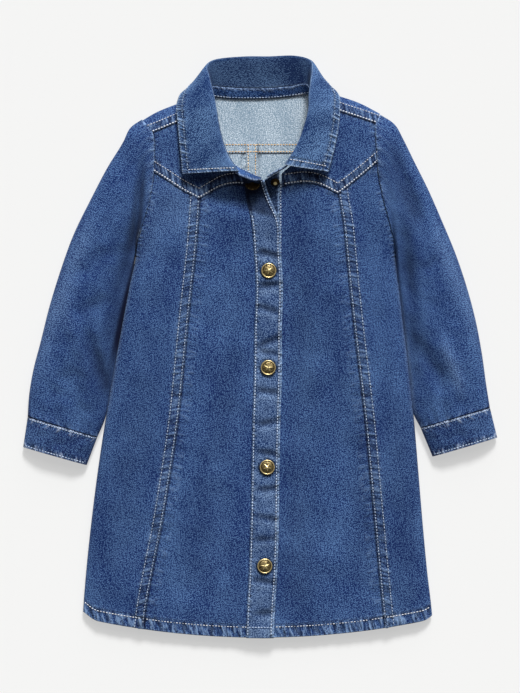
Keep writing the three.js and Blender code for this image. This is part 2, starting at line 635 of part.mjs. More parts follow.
// One end of the back yoke, round the shoulder fold to the seam in front of it.
function shoulderWrap(side) {
  const left = side === "left";
  const lower = SIDE_SEAM_Z + half;
  const under = [-1.5, 0, 0.3, 0.6, 0.85].map((share) => ({
    in: SIDE_SEAM_Z * (1 - Math.sin((Math.max(share, 0) * Math.PI) / 2)) - Math.min(share, 0),
    z: lower * (1 - Math.cos((Math.max(share, 0) * Math.PI) / 2)),
  }));
  const over = [0, 0.5, 2, 5].map((distance) => ({ in: distance }));
  const seam = [WELT.width + WELT.ramp, WELT.width, 3, 0].map((distance) => ({ fromSeam: distance }));
  const rows = [...under, ...over, ...seam];
  const neckEdge = (y) => neckFront[side](y) + (left ? -1 : 1) * NECK_GAP;
  const ends = left ? [inset(armhole.left, half), neckEdge] : [neckEdge, inset(armhole.right, -half)];
  const grid = rows.map((row) =>
    steps(5).map((t) => {
      let x = left ? -80 : 80;
      let y = shoulderFold(x);
      for (let i = 0; i < 30; i += 1) {
        x = mix(ends[0](y), ends[1](y), t);
        y = "fromSeam" in row ? shoulderSeam(x) + 2 * half + row.fromSeam : shoulderFold(x) - row.in;
      }
      const welt = "fromSeam" in row ? weltAt(row.fromSeam) : 0;
      return new THREE.Vector3(x, y, row.z ?? (left ? leftFrontZ : frontZ)(x, y) + welt);
    }),
  );
  return manifoldOf(clothWall(grid, () => CLOTH));
}

// The flat part's upper edge: inside the band across the neck, and up to the fold beside it.
function backYokeTop(x) {
  if (Math.abs(x) < 52) return neckBack(x) + 2.4;
  return Math.min(neckBack(Math.sign(x) * 54), shoulderFold(x) - SIDE_SEAM_Z);
}

const BACK_YOKE_HALF = 118;
const BACK_YOKE_STOPS = [0, 20, 40, 54, 78, 100, BACK_YOKE_HALF]; // out from the middle
const backYokeFlat = panelGrid({
  left: armhole.left,
  right: armhole.right,
  start: () => BACK_YOKE_Y + half,
  end: backYokeTop,
  columns: [...BACK_YOKE_STOPS.slice(1).reverse().map((x) => -x), ...BACK_YOKE_STOPS].map(
    (x) => (a, b) => mix(a, b, (x / BACK_YOKE_HALF + 1) / 2),
  ),
  rows: stops({ between: 2 }),
  z: () => 0,
});
addPiece(
  "back_yoke",
  geometryOf(manifoldOf(clothWall(backYokeFlat, () => CLOTH)).add(shoulderWrap("left")).add(shoulderWrap("right"))),
  denim,
);

// Sleeves: a tube of cloth from the armhole to the cuff, round on top and flat where it rests.

const sleeveLoft = along(SLEEVE_LOFT, "t", "z");
const SLEEVE_GAP = 0.9;
const ROUND = 12; // sections of the ring on its upper side, and as many on its lower side
const ringShares = steps(ROUND).map((t) => (1 - Math.cos(Math.PI * t)) / 2);
const SLEEVE_ROWS = [0, 0.02, 0.05, 0.1, 0.16, 0.23, 0.31, 0.39, 0.47, 0.55, 0.63, 0.71, 0.79, 0.87, 0.94, 1];

// A point on the sleeve or cuff, at t down it and w across it from its outer edge.
function ringPoint(plan, w, top, upper, fromEdge) {
  const z = upper
    ? SIDE_SEAM_Z + (top - SIDE_SEAM_Z) * (1 - Math.abs(2 * w - 1) ** 2.4) ** (1 / 2.2)
    : SIDE_SEAM_Z * (1 - rounded(fromEdge, SIDE_ROUNDING.back));
  return new THREE.Vector3(plan.x, plan.y, z);
}

function sleeveRings(sleeve) {
  const outer = planCurve(sleeve.outer);
  const inner = planCurve(sleeve.inner);
  const sign = sleeve.armhole === "left" ? -1 : 1;
  const tip = sleeve.outer[0];
  const rows = ARMHOLE.filter((row) => row.y < tip.y - 4);
  const seam = planCurve([tip, ...rows.map((row) => ({ x: row[sleeve.armhole] + sign * SLEEVE_GAP, y: row.y }))]);
  const rings = SLEEVE_ROWS.map((t) => {
    const [o, n] = [outer(t), inner(t)];
    const [o0, n0] = [outer(0), inner(0)];
    const bulge = (1 - t) ** 2;
    const top = sleeveLoft(t);
    const settle = smoothstep(0, 0.16, t);
    const width = Math.hypot(o.x - n.x, o.y - n.y);
    const place = (w) => {
      const s = seam(w);
      return {
        x: mix(o.x, n.x, w) + bulge * (s.x - mix(o0.x, n0.x, w)),
        y: mix(o.y, n.y, w) + bulge * (s.y - mix(o0.y, n0.y, w)),
      };
    };
    const above = ringShares.map((w) => {
      const plan = place(w);
      const point = ringPoint(plan, w, top, true);
      const joined = Math.max(SIDE_SEAM_Z, frontZ(plan.x, plan.y));
      const full = point.z + foldsAt(sleeve.folds, plan.x, plan.y) * (1 - Math.abs(2 * w - 1) ** 4);
      point.z = mix(joined, full, settle);
      return point;
    });
    const below = ringShares
      .slice(1, -1)
      .reverse()
      .map((w) => ringPoint(place(w), w, top, false, Math.min(w, 1 - w) * width));
    return sign < 0 ? [...above, ...below] : [...above, ...below].reverse();
  });
  return rings;
}

function cuffRings(sleeve, fromShare, toShare) {
  const seam = { outer: sleeve.outer.at(-1), inner: sleeve.inner.at(-1) };
  const end = sleeve.cuffEnd;
  return [fromShare, 0.35, 0.7, toShare].map((t) => {
    const top = mix(CUFF_GATHER_Z + 0.6, CUFF_GATHER_Z - 1.4, t);
    const o = { x: mix(seam.outer.x, end.outer.x, t), y: mix(seam.outer.y, end.outer.y, t) };
    const n = { x: mix(seam.inner.x, end.inner.x, t), y: mix(seam.inner.y, end.inner.y, t) };
    const width = Math.hypot(o.x - n.x, o.y - n.y);
    const place = (w) => ({ x: mix(o.x, n.x, w), y: mix(o.y, n.y, w) });
    const above = ringShares.map((w) => ringPoint(place(w), w, top, true));
    const below = ringShares
      .slice(1, -1)
      .reverse()
      .map((w) => ringPoint(place(w), w, top, false, Math.min(w, 1 - w) * width));
    return sleeve.armhole === "left" ? [...above, ...below] : [...above, ...below].reverse();
  });
}

for (const [side, sleeve] of [["left", SLEEVE_LEFT], ["right", SLEEVE_RIGHT]]) {
  addPiece(`sleeve_${side}`, clothWall(sleeveRings(sleeve), () => CLOTH, { tube: true }), denim);
  addPiece(`cuff_${side}`, clothWall(cuffRings(sleeve, 0.01, 1), () => DOUBLE_CLOTH, { tube: true }), denim);
}

// Collar and its band

// A smooth run through one column of a table of points, with t from the first row to the last.
function stations(rows, column) {
  const axes = [0, 1, 2].map((axis) => along(rows.map((row, i) => ({ i, v: row[column][axis] })), "i", "v"));
  return (t) => new THREE.Vector3(...axes.map((axis) => axis(t * (rows.length - 1))));
}

const bandNeck = stations(BAND, "neck");
const bandTop = stations(BAND, "top");
const collarRoll = stations(COLLAR, "roll");
const collarEdge = stations(COLLAR, "edge");
const collarSeam = (t) => bandTop((COLLAR_FROM_ROW + t * (COLLAR.length - 1)) / (BAND.length - 1));

// One section of the collar: up from its seam to the roll line, over it and down to the free edge.
function collarSection(t) {
  const [seam, roll, edge] = [collarSeam(t), collarRoll(t), collarEdge(t)];
  const rise = new THREE.Vector3().subVectors(roll, seam);
  const fall = new THREE.Vector3().subVectors(edge, roll);
  const turn = fall.clone().normalize().add(rise.clone().normalize()).normalize().multiplyScalar(ROLL_TURN);
  const between = (a, b, slopeA, slopeB, s) =>
    new THREE.Vector3(
      hermite(a.x, b.x, slopeA.x, slopeB.x, s),
      hermite(a.y, b.y, slopeA.y, slopeB.y, s),
      hermite(a.z, b.z, slopeA.z, slopeB.z, s),
    );
  const up = [COLLAR_SEAM_GAP, 0.45, 0.8].map((s) => between(seam, roll, rise, turn, s));
  const over = [0, 0.1, 0.24, 0.42, 0.62, 0.82, 1].map((s) => {
    const point = between(roll, edge, turn, fall, s);
    point.z += LEAF_PUFF * Math.sin(Math.PI * s) * smoothstep(8, 20, roll.z);
    return point;
  });
  return [...up, ...over];
}

// Both are drawn on the face that is seen, from the right front end to the left one.
const collarColumns = steps(COLLAR_STATIONS).reverse().map(collarSection);
const collarGrid = collarColumns[0].map((_, r) => collarColumns.map((column) => column[r]));
addPiece("collar", clothWall(collarGrid, () => COLLAR_CLOTH), denim);

const bandGrid = [0.02, 0.5, 0.95].map((share) =>
  steps(BAND_STATIONS)
    .reverse()
    .map((t) => bandNeck(t).lerp(bandTop(t), share)),
);
addPiece("collar_band", clothWall(bandGrid, () => BAND_CLOTH), denim);

// Snaps: a domed cap with a raised rim for each, and at the neck the stud that its cap has come off.

// `stand` is how far the cap stands off the cloth, more where the cloth is hollow.
const SNAPS = [
  { name: "snap_neck", x: -7.5, y: 162.6, stand: 2 },
  { name: "snap_chest", x: 8.5, y: 75.5, stand: 0.35 },
  { name: "snap_waist", x: 8, y: -21, stand: 0.35 },
  { name: "snap_hip", x: 7, y: -120, stand: 0.35 },
  { name: "snap_hem", x: 4.5, y: -218.5, stand: 0.35 },
];
const capProfile = [
  [0, 0],
  [SNAP.radius - 0.3, 0],
  [SNAP.radius, 0.8],
  [SNAP.radius - 0.25, 1.9],
  [SNAP.radius - SNAP.rim, 2],
  [SNAP.radius - 1.7, 1.7],
  [SNAP.radius * 0.5, SNAP.dome - 0.35],
  [0, SNAP.dome],
].map(([r, z]) => new THREE.Vector2(r, z));
const studProfile = [
  [0, 0],
  [STUD.flange, 0],
  [STUD.flange, 0.5],
  [STUD.post, 0.8],
  [STUD.post * 0.85, 1.5],
  [STUD.post, STUD.height - 0.4],
  [STUD.post * 0.7, STUD.height],
  [0, STUD.height],
].map(([r, z]) => new THREE.Vector2(r, z));

// Seats a turned piece on a surface z(x, y), upright to it.
function seat({ name, x, y, stand }, profile, segments, surface) {
  const mesh = addPiece(name, new THREE.LatheGeometry(profile, segments).rotateX(Math.PI / 2), brass);
  const reach = 6;
  const normal = new THREE.Vector3(
    (surface(x - reach, y) - surface(x + reach, y)) / (2 * reach),
    (surface(x, y - reach) - surface(x, y + reach)) / (2 * reach),
    1,
  ).normalize();
  mesh.quaternion.setFromUnitVectors(new THREE.Vector3(0, 0, 1), normal);
  mesh.position.set(x, y, surface(x, y)).addScaledVector(normal, stand);
}
for (const snap of SNAPS) seat(snap, capProfile, 20, overPlacketZ);
const stud = { name: "snap_stud_neck", x: 15, y: 163.4, stand: 0.7 };
seat(stud, studProfile, 12, (x, y) => frontZ(x, y) + UNDER_PLACKET_Z);

pieces.position.set(-FOOTPRINT_MIDDLE.x, -FOOTPRINT_MIDDLE.y, 0);

export default pieces;
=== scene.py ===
import math

import bpy
import numpy as np
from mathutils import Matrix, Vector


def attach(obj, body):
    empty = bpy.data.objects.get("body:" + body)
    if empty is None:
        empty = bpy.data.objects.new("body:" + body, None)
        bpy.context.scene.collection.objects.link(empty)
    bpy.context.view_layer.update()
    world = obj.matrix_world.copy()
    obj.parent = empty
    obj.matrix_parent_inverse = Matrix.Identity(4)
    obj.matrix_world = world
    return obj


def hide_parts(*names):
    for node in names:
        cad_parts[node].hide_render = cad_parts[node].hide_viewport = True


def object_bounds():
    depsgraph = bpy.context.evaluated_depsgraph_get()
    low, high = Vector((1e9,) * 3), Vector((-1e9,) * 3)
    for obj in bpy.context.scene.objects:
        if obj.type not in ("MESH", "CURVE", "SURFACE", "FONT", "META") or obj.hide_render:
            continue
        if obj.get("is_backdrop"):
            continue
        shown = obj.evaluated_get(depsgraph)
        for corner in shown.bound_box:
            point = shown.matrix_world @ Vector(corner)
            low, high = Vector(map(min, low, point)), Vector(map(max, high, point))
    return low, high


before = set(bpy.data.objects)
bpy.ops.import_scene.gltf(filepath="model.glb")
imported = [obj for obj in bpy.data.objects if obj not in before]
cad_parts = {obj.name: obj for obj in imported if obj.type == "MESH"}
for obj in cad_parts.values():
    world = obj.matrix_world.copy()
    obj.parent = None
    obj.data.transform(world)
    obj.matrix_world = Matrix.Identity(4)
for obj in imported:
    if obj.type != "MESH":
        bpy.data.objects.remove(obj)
cad_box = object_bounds()

# Front panels
# The front is cut from rigid 9 oz denim in four long panels: a centre and a side panel on each side.
# Each side panel is felled over its centre panel with two rows of thread, and the hem is turned up and sewn.

CLOTH = 1.2  # millimetres, as every size in this file is, until a mesh is made
SEAM_GAP = 0.4
MIDDLE_Y = -0.3  # the middle of the laid-out dress, which is at 0 in the frame
HEM_LOWEST = -290.6
HEM_BOW = 0.00062
HEM_CORNER = {"from": 158, "to": 178, "lift": 6}
HEM = {"depth": 11, "ramp": 1.5, "extra": 0.8, "row": 10.5}
SEAM_ROWS = (1.3, 9)  # a felled seam's two rows of thread, from its edge
WELT = {"width": 9.5, "ramp": 1.2, "height": 0.9, "groove": 0.3}
SIDE_SEAM_Z = 4
SIDE_ROUNDING = {"front": 36, "back": 5, "power": 2.2}
SHOULDER_ROUNDING = 36
UNDERARM_Y = 96
LAP = {"rise": 1.9, "from": -46, "to": -9}
OPEN_TOP = {"rise": 2.5, "from_y": 84, "to_y": 150, "from_x": -64, "to_x": -14}


def table(columns, *rows):
    """Rows of numbers under named columns."""
    return {name: np.array([row[i] for row in rows], float) for i, name in enumerate(columns.split())}


BODY = table(
    "y     side_l  princess_l placket_l placket_r princess_r side_r loft",
    (170, -150, -57.5, -17, 2, 76.3, 160, 18),
    (148, -142, -60, -13.5, 9, 78.8, 152, 18.5),
    (125, -134, -61.5, -8.5, 19, 82.8, 145, 18.5),
    (96, -124.6, -64, -6, 20.5, 85.8, 136, 18),
    (60, -131.5, -68, -4, 22.5, 89.3, 139.5, 17.5),
    (18, -139, -72.5, -5.5, 21.5, 93.8, 144, 17),
    (-24, -146.5, -76.5, -6, 21.5, 98.8, 149, 16.5),
    (-75, -155, -82, -7.5, 20, 104.8, 154, 16),
    (-129, -163, -90, -8.5, 19, 109.8, 158.5, 15),
    (-177, -169, -98, -9.5, 18.5, 114.3, 162.5, 14),
    (-225, -174, -107.5, -11, 17, 118.8, 167, 12.5),
    (-264, -177, -114.5, -13, 14.5, 122.8, 171.5, 10.5),
    (-291, -178, -117.5, -14, 13.5, 125.8, 173.5, 9),
)
ARMHOLE = table(
    "y     left    right",
    (231, -121, 119),
    (224.5, -117.5, 116.5),
    (212, -107.5, 115.5),
    (195, -106, 116.5),
    (170, -107, 118.5),
    (150, -109.6, 122.4),
    (124, -117, 129.5),
    (109, -121.8, 133.6),
    (96, -124.6, 136),
)
SHOULDER = table(
    "x     fold    seam",
    (-121, 224, 208),
    (-105, 233.5, 214),
    (-82, 243, 223.5),
    (-54, 254, 236),
    (0, 262, 250),
    (54, 257, 243),
    (80, 250, 234),
    (100, 243, 227.5),
    (121, 232, 220.5),
)
YOKE_LEFT_OUTER = table("x y", (-112, 178), (-90, 164), (-77, 155.5), (-60.6, 147))
YOKE_LEFT_INNER = table("x y", (-60.6, 147), (-51.5, 152.5), (-39, 159), (-26, 161.5), (-8, 160))
YOKE_RIGHT_INNER = table("x y", (16, 158.5), (31, 161.5), (44, 163), (57, 161.5), (77.5, 152))
YOKE_RIGHT_OUTER = table("x y", (77.5, 152), (88.5, 160.5), (104, 173), (122, 188.5))
NECK_LIFTS = (
    {"x": -8, "y": 171, "across": 26, "along": 9.5, "height": 11.5},
    {"x": 24, "y": 180, "across": 24, "along": 20, "height": 8},
)
FOLD_COLUMNS = "x     y      angle  length width  height"
BODY_FOLDS = table(
    FOLD_COLUMNS,
    (-34, 20, 84, 120, 15, -1.6),
    (-46, -120, 76, 110, 20, -1.4),
    (44, -90, 92, 130, 14, -1.8),
    (66, 30, 97, 110, 18, 1.3),
    (-112, -30, 80, 120, 14, 1.2),
    (128, -60, 96, 110, 12, -1.2),
    (-95, 120, 62, 46, 12, -1.4),
    (104, 122, 112, 46, 12, -1.4),
    (-20, -215, 70, 70, 20, 1.2),
    (-17, 150, 0, 31, 14, -6),
)
# Painted light and shade: soft patches that lighten the chest and shoulders and darken the cloth beside its
# folds and under the collar's points; a positive height lightens, a negative one darkens.
BODY_PAINTED_LIGHT_AND_SHADE = table(
    FOLD_COLUMNS,
    (-88, 130, 62, 70, 34, 0.08),
    (-100, 76, 70, 40, 16, -0.12),
    (40, 30, 92, 130, 17, -0.2),
    (74, 20, 96, 90, 15, -0.14),
    (100, -120, 94, 110, 13, -0.2),
    (38, -190, 92, 90, 16, -0.2),
    (-40, -70, 80, 70, 15, -0.16),
    (-60, -186, 80, 50, 24, -0.16),
    (-128, -110, 78, 130, 26, -0.18),
    (142, -150, 95, 110, 22, -0.2),
    (-48, 167.5, 5, 26, 4.5, -0.6),
    (48, 171, -8, 22, 3.5, -0.35),
)


def line(rows, across, value):
    """A smooth line through a table's rows: its column `value` for any number in its column `across`."""
    order = np.argsort(rows[across])
    xs = rows[across][order]
    ys = rows[value][order]
    gap = np.diff(xs)
    rise = np.diff(ys) / gap
    slope = np.empty_like(ys)
    slope[0], slope[-1] = rise[0], rise[-1]
    slope[1:-1] = (rise[1:] * gap[:-1] + rise[:-1] * gap[1:]) / (gap[:-1] + gap[1:])

    def at(x):
        x = np.asarray(x, float)
        i = np.clip(np.searchsorted(xs, x) - 1, 0, len(gap) - 1)
        t = np.clip((x - xs[i]) / gap[i], 0, 1)
        inside = hermite(ys[i], ys[i + 1], slope[i] * gap[i], slope[i + 1] * gap[i], t)
        beyond = slope[0] * np.minimum(x - xs[0], 0) + slope[-1] * np.maximum(x - xs[-1], 0)
        return inside + beyond

    return at


def hermite(start, end, start_slope, end_slope, t):
    """A curve from `start` to `end` that leaves and arrives with the slopes that are given."""
    return (
        start * (2 * t**3 - 3 * t**2 + 1)
        + start_slope * (t**3 - 2 * t**2 + t)
        + end * (3 * t**2 - 2 * t**3)
        + end_slope * (t**3 - t**2)
    )


def smooth(low, high, x):
    """0 up to `low`, 1 from `high` on, and a soft rise between them."""
    t = np.clip((x - low) / (high - low), 0, 1)
    return t * t * (3 - 2 * t)


def fading(low, high, x):
    """1 up to `low`, 0 from `high` on, and a soft fall between them."""
    return 1 - smooth(low, high, x)


def peak(x, at, reach):
    """1 at the place `at`, and softly down to 0 over about `reach` to both sides."""
    return np.exp(-(((x - at) / reach) ** 2))


def unit(vectors):
    """The same directions, each of length 1."""
    return vectors / np.linalg.norm(vectors, axis=-1, keepdims=True)


def rounded(distance, width, power=SIDE_ROUNDING["power"]):
    """How far a rounded edge has risen: upright at the edge, level at `width` in from it."""
    return (1 - (1 - np.clip(distance / width, 0, 1)) ** power) ** (1 / power)


def folds_at(folds, x, y):
    """The height that a table of soft folds adds."""
    total = np.zeros(np.broadcast(x, y).shape)
    for i, angle in enumerate(np.radians(folds["angle"])):
        dx = x - folds["x"][i]
        dy = y - folds["y"][i]
        run = (dx * np.cos(angle) + dy * np.sin(angle)) / folds["length"][i]
        off = (dy * np.cos(angle) - dx * np.sin(angle)) / folds["width"][i]
        total += folds["height"][i] * np.exp(-(run**4) - off**2)
    return total


def unevenness(x, y, size, seed):
    """Soft waves of about that size in every direction, from about -1 to 1."""
    total = 0
    for k in range(6):
        angle = seed * 1.3 + 1.9 * k
        wave = size * (0.75 + 0.13 * k)
        turn = (x * np.cos(angle) + y * np.sin(angle)) * 2 * np.pi / wave
        total = total + np.sin(turn + seed * 3.1 * (k + 1))
    return total / 3.5


def puckers(along, across, pitch, reach):
    """Slanting ridges that a row of thread draws up, from 0 to 1, and no further in than `reach`."""
    run = (along + 0.25 * across) / pitch
    wave = np.sin(2 * np.pi * run + 1.6 * np.sin(0.9 * run) + 0.8 * np.sin(2.3 * run + 1))
    return np.clip(wave, 0, 1) ** 2 * fading(reach - 1, reach + 4, across)


body = {name: line(BODY, "y", name) for name in BODY if name != "y"}
armhole = {"left": line(ARMHOLE, "y", "left"), "right": line(ARMHOLE, "y", "right")}
shoulder_fold = line(SHOULDER, "x", "fold")
shoulder_seam = line(SHOULDER, "x", "seam")
yoke_lines = {
    "left": (line(YOKE_LEFT_OUTER, "x", "y"), line(YOKE_LEFT_INNER, "x", "y")),
    "right": (line(YOKE_RIGHT_INNER, "x", "y"), line(YOKE_RIGHT_OUTER, "x", "y")),
}
yoke_point = {"left": YOKE_LEFT_INNER["x"][0], "right": YOKE_RIGHT_OUTER["x"][0]}


def yoke_line(side):
    """The yoke's pointed lower edge, y from x."""
    first, second = yoke_lines[side]
    return lambda x: np.where(x < yoke_point[side], first(x), second(x))


def side_edge(side):
    """A panel's outer edge, x from y: the side seam, and the armhole above it."""
    seam = body["side_l" if side == "left" else "side_r"]
    return lambda y: np.where(y > UNDERARM_Y, armhole[side](y), seam(y))


def hem_line(x):
    """The dress's lower edge, y from x: a shallow bow that lifts at both corners."""
    corner = smooth(HEM_CORNER["from"], HEM_CORNER["to"], np.abs(x))
    return HEM_LOWEST + HEM_BOW * x * x + HEM_CORNER["lift"] * corner**2


def front_z(x, y):
    """Height of the right front's face: rounded down to the side seams and to the shoulder fold."""
    from_side = np.minimum(x - body["side_l"](y), body["side_r"](y) - x)
    from_shoulder = shoulder_fold(x) - y
    full = body["loft"](np.minimum(y, BODY["y"][0])) - SIDE_SEAM_Z
    swell = rounded(from_side, SIDE_ROUNDING["front"]) * rounded(from_shoulder, SHOULDER_ROUNDING)
    lift = 0
    for n in NECK_LIFTS:
        off = ((x - n["x"]) / n["across"]) ** 2 + ((np.minimum(y, n["y"]) - n["y"]) / n["along"]) ** 2
        lift = lift + n["height"] * np.exp(-off)
    slack = 0.55 * unevenness(x, y, 58, 1) + 0.3 * unevenness(x, y * 0.8, 24, 2)
    soft = (lift + folds_at(BODY_FOLDS, x, y) + slack) * np.clip(swell, 0, 1) ** 2
    return SIDE_SEAM_Z + SEAM_GAP / 2 + full * swell + soft


def open_top(x, y):
    """How far the left front's edge stands up towards the neck, where its snap is open."""
    rise = OPEN_TOP["rise"] * smooth(OPEN_TOP["from_y"], OPEN_TOP["to_y"], y)
    return rise * smooth(OPEN_TOP["from_x"], OPEN_TOP["to_x"], x)


def left_front_z(x, y):
    """Height of the left front's face, which laps over the right front's."""
    return front_z(x, y) + LAP["rise"] * smooth(LAP["from"], LAP["to"], x) + open_top(x, y)


def seam_grooves(from_edge):
    """The grooves that a felled seam's two rows of thread pull into it, from 0 to 1."""
    return sum(peak(from_edge, row, 0.9) for row in SEAM_ROWS)


def welt_at(distance):
    """How much a felled seam's strip stands up, with its two sewn grooves."""
    strip = fading(WELT["width"], WELT["width"] + WELT["ramp"], distance)
    return WELT["height"] * strip - WELT["groove"] * seam_grooves(distance)


princess = {"left": body["princess_l"], "right": body["princess_r"]}
face_z = {"left": left_front_z, "right": front_z}
outwards = {"left": -1, "right": 1}


def stops(near, between, far):
    """Places from one end, 0, to the other, 1, each with its share of the way and a distance added to it."""
    share = np.linspace(0, 1, between + 2)[1:-1]
    shares = np.concatenate([np.zeros(len(near)), share, np.ones(len(far))])
    extra = near[-1] * (1 - share) - far[-1] * share
    return shares, np.concatenate([near, extra, -np.array(far[::-1], float)])


def panel(left, right, start, end, columns, rows):
    """x and y over a cut piece between two side lines, x from y, and two end lines, y from x."""
    y = start(0) + (end(0) - start(0)) * rows[0][:, None] * np.ones(len(columns[0]))
    for _ in range(30):
        a, b = left(y), right(y)
        x = a + (b - a) * columns[0] + columns[1]
        a, b = start(x), end(x)
        y = 0.3 * y + 0.7 * (a + (b - a) * rows[0][:, None] + np.sign(b - a) * rows[1][:, None])
    return x, y


def outward(grid, tube=False, upright=()):
    """The direction that a grid of points faces, rows crossed with columns."""
    down = np.gradient(grid, axis=0)
    across = (np.roll(grid, -1, 1) - np.roll(grid, 1, 1)) if tube else np.gradient(grid, axis=1)
    normal = np.cross(down, across)
    for column in upright:
        normal[:, column, 2] = 0
    return normal / np.maximum(np.linalg.norm(normal, axis=2, keepdims=True), 1e-9)


def wall_of(grid, thickness, tube=False, upright=()):
    """A closed wall of cloth: its vertices, and the faces of its face side, reverse side and rims."""
    rows, columns = grid.shape[:2]
    inner = grid - outward(grid, tube, upright) * thickness
    count = rows * columns
    r, c = np.meshgrid(np.arange(rows - 1), np.arange(columns if tube else columns - 1), indexing="ij")
    corner = lambda i, j: (i * columns + j % columns).ravel()
    a, b, d, e = corner(r, c), corner(r + 1, c), corner(r + 1, c + 1), corner(r, c + 1)
    face_side = np.stack([a, b, d, e], 1)
    reverse_side = np.stack([a, e, d, b], 1) + count
    edges = []
    top = np.arange(columns if tube else columns - 1)
    edges.append((corner(0, top + 1), corner(0, top)))
    edges.append((corner(rows - 1, top), corner(rows - 1, top + 1)))
    if not tube:
        down = np.arange(rows - 1)
        edges.append((corner(down, 0), corner(down + 1, 0)))
        edges.append((corner(down + 1, columns - 1), corner(down, columns - 1)))
    rims = [np.stack([q, p, p + count, q + count], 1) for p, q in edges]
    vertices = np.concatenate([grid.reshape(-1, 3), inner.reshape(-1, 3)])
    return vertices, face_side, reverse_side, np.concatenate(rims)


def unrolled(grid, middle, axis):
    """How far each point lies from the row or column `middle` of its grid, measured along the cloth."""
    step = np.linalg.norm(np.diff(grid, axis=axis), axis=2)
    run = np.cumsum(np.insert(step, 0, 0, axis=axis), axis=axis)
    return run - np.take(run, [middle], axis=axis)


MARKS = ("rope", "along", "across", "wear_and_painted_light", "shaded")  # what each point of the cloth carries: its seam's puckers, its wear with painted light, and its painted shade


def in_frame(points):
    """Points of this file in the frame's metres."""
    return ((points + (0, -MIDDLE_Y, 0)) / 1000).tolist()


def add_piece(name, mesh):
    """Puts a finished mesh into the scene. Every piece rides on the dress's one body."""
    piece = bpy.data.objects.new(name, mesh)
    bpy.context.scene.collection.objects.link(piece)
    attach(piece, "root")
    return piece


def cloth_object(name, walls, materials):
    """One mesh of cloth from walls. Each wall has its grid's cloth place and its seam marks."""
    vertices, faces, finish, places, marks = [], [], [], [], {mark: [] for mark in MARKS}
    start = 0
    for wall in walls:
        points, face_side, reverse_side, rims = wall["wall"]
        vertices.append(points)
        faces += [face_side + start, reverse_side + start, rims + start]
        finish += [0] * len(face_side) + [1] * len(reverse_side) + [0] * len(rims)
        shape = wall["place"][0].shape
        place = np.stack([p.ravel() for p in wall["place"]], 1)
        places.append(np.concatenate([place, place]))
        for mark in MARKS:
            values = np.broadcast_to(wall["marks"].get(mark, 0), shape).ravel()
            marks[mark].append(np.concatenate([values, values]))
        start += len(points)
    mesh = bpy.data.meshes.new(name)
    mesh.from_pydata(in_frame(np.concatenate(vertices)), [], np.concatenate(faces).tolist())
    mesh.polygons.foreach_set("use_smooth", np.ones(len(finish), bool))
    mesh.polygons.foreach_set("material_index", np.array(finish, np.int32))
    for mark in MARKS:
        attribute = mesh.attributes.new(mark, "FLOAT", "POINT")
        attribute.data.foreach_set("value", np.concatenate(marks[mark]).astype(np.float32))
    corners = np.empty(len(mesh.loops), np.int32)
    mesh.loops.foreach_get("vertex_index", corners)
    uv = mesh.uv_layers.new(name="cloth")
    uv.data.foreach_set("uv", (np.concatenate(places)[corners] / 1000).astype(np.float32).ravel())
    for material in materials:
        mesh.materials.append(material)
    return add_piece(name, mesh)


def strongest(*seams):
    """Of several seams, each (strength, along, across), the marks of the strongest one at each point."""
    strength = np.stack(np.broadcast_arrays(*[seam[0] for seam in seams]))
    pick = strength.argmax(0)
    shape = strength.shape[1:]
    choose = lambda k: np.choose(pick, [np.broadcast_to(seam[k], shape) for seam in seams])
    return {"rope": strength.max(0), "along": choose(1), "across": choose(2)}


def group_tree(name, inputs, outputs):
    """An empty shader node group, with its named inputs and outputs."""
    tree = bpy.data.node_groups.new(name, "ShaderNodeTree")
    for socket, kind, default in inputs:
        made = tree.interface.new_socket(socket, in_out="INPUT", socket_type=kind)
        if default is not None:
            made.default_value = default
    for socket, kind in outputs:
        tree.interface.new_socket(socket, in_out="OUTPUT", socket_type=kind)
    return tree, tree.nodes.new("NodeGroupInput"), tree.nodes.new("NodeGroupOutput")


def feed(tree, socket, value):
    """Links a socket's value, or sets it."""
    if isinstance(value, bpy.types.NodeSocket):
        tree.links.new(value, socket)
    else:
        socket.default_value = value


def node(tree, kind, settings=None, **inputs):
    """A node with its settings, and its inputs by name, with _ for a space."""
    made = tree.nodes.new(kind)
    for key, value in (settings or {}).items():
        setattr(made, key, value)
    for key, value in inputs.items():
        feed(tree, made.inputs[key.replace("_", " ")], value)
    return made


def calc(tree, operation, *values):
    """A sum on sockets and numbers."""
    made = node(tree, "ShaderNodeMath", {"operation": operation})
    for socket, value in zip(made.inputs, values):
        feed(tree, socket, value)
    return made.outputs[0]


def between(tree, low, high, value):
    """0 below `low`, 1 above `high`, smooth between them."""
    made = node(tree, "ShaderNodeMapRange", {"interpolation_type": "SMOOTHSTEP"})
    for key, number in (("Value", value), ("From Min", low), ("From Max", high)):
        feed(tree, made.inputs[key], number)
    return made.outputs[0]


def blend(tree, factor, a, b):
    """Colour a where the factor is 0, and b where it is 1."""
    made = node(tree, "ShaderNodeMix", {"data_type": "RGBA"})
    for socket, value in ((made.inputs[0], factor), (made.inputs[6], a), (made.inputs[7], b)):
        feed(tree, socket, value)
    return made.outputs[2]


def place_of(tree, x, y):
    """A place for a texture from its two numbers."""
    made = node(tree, "ShaderNodeCombineXYZ")
    feed(tree, made.inputs[0], x)
    feed(tree, made.inputs[1], y)
    return made.outputs[0]


# In millimetres: a rib's slant for each one up, its width, and one yarn float's width, length and step
TWILL = {"slant": 0.55, "rib": 1.15, "float_width": 0.8, "float_length": 0.95, "float_step": 0.37}
WEAVE_DEPTH = 0.25


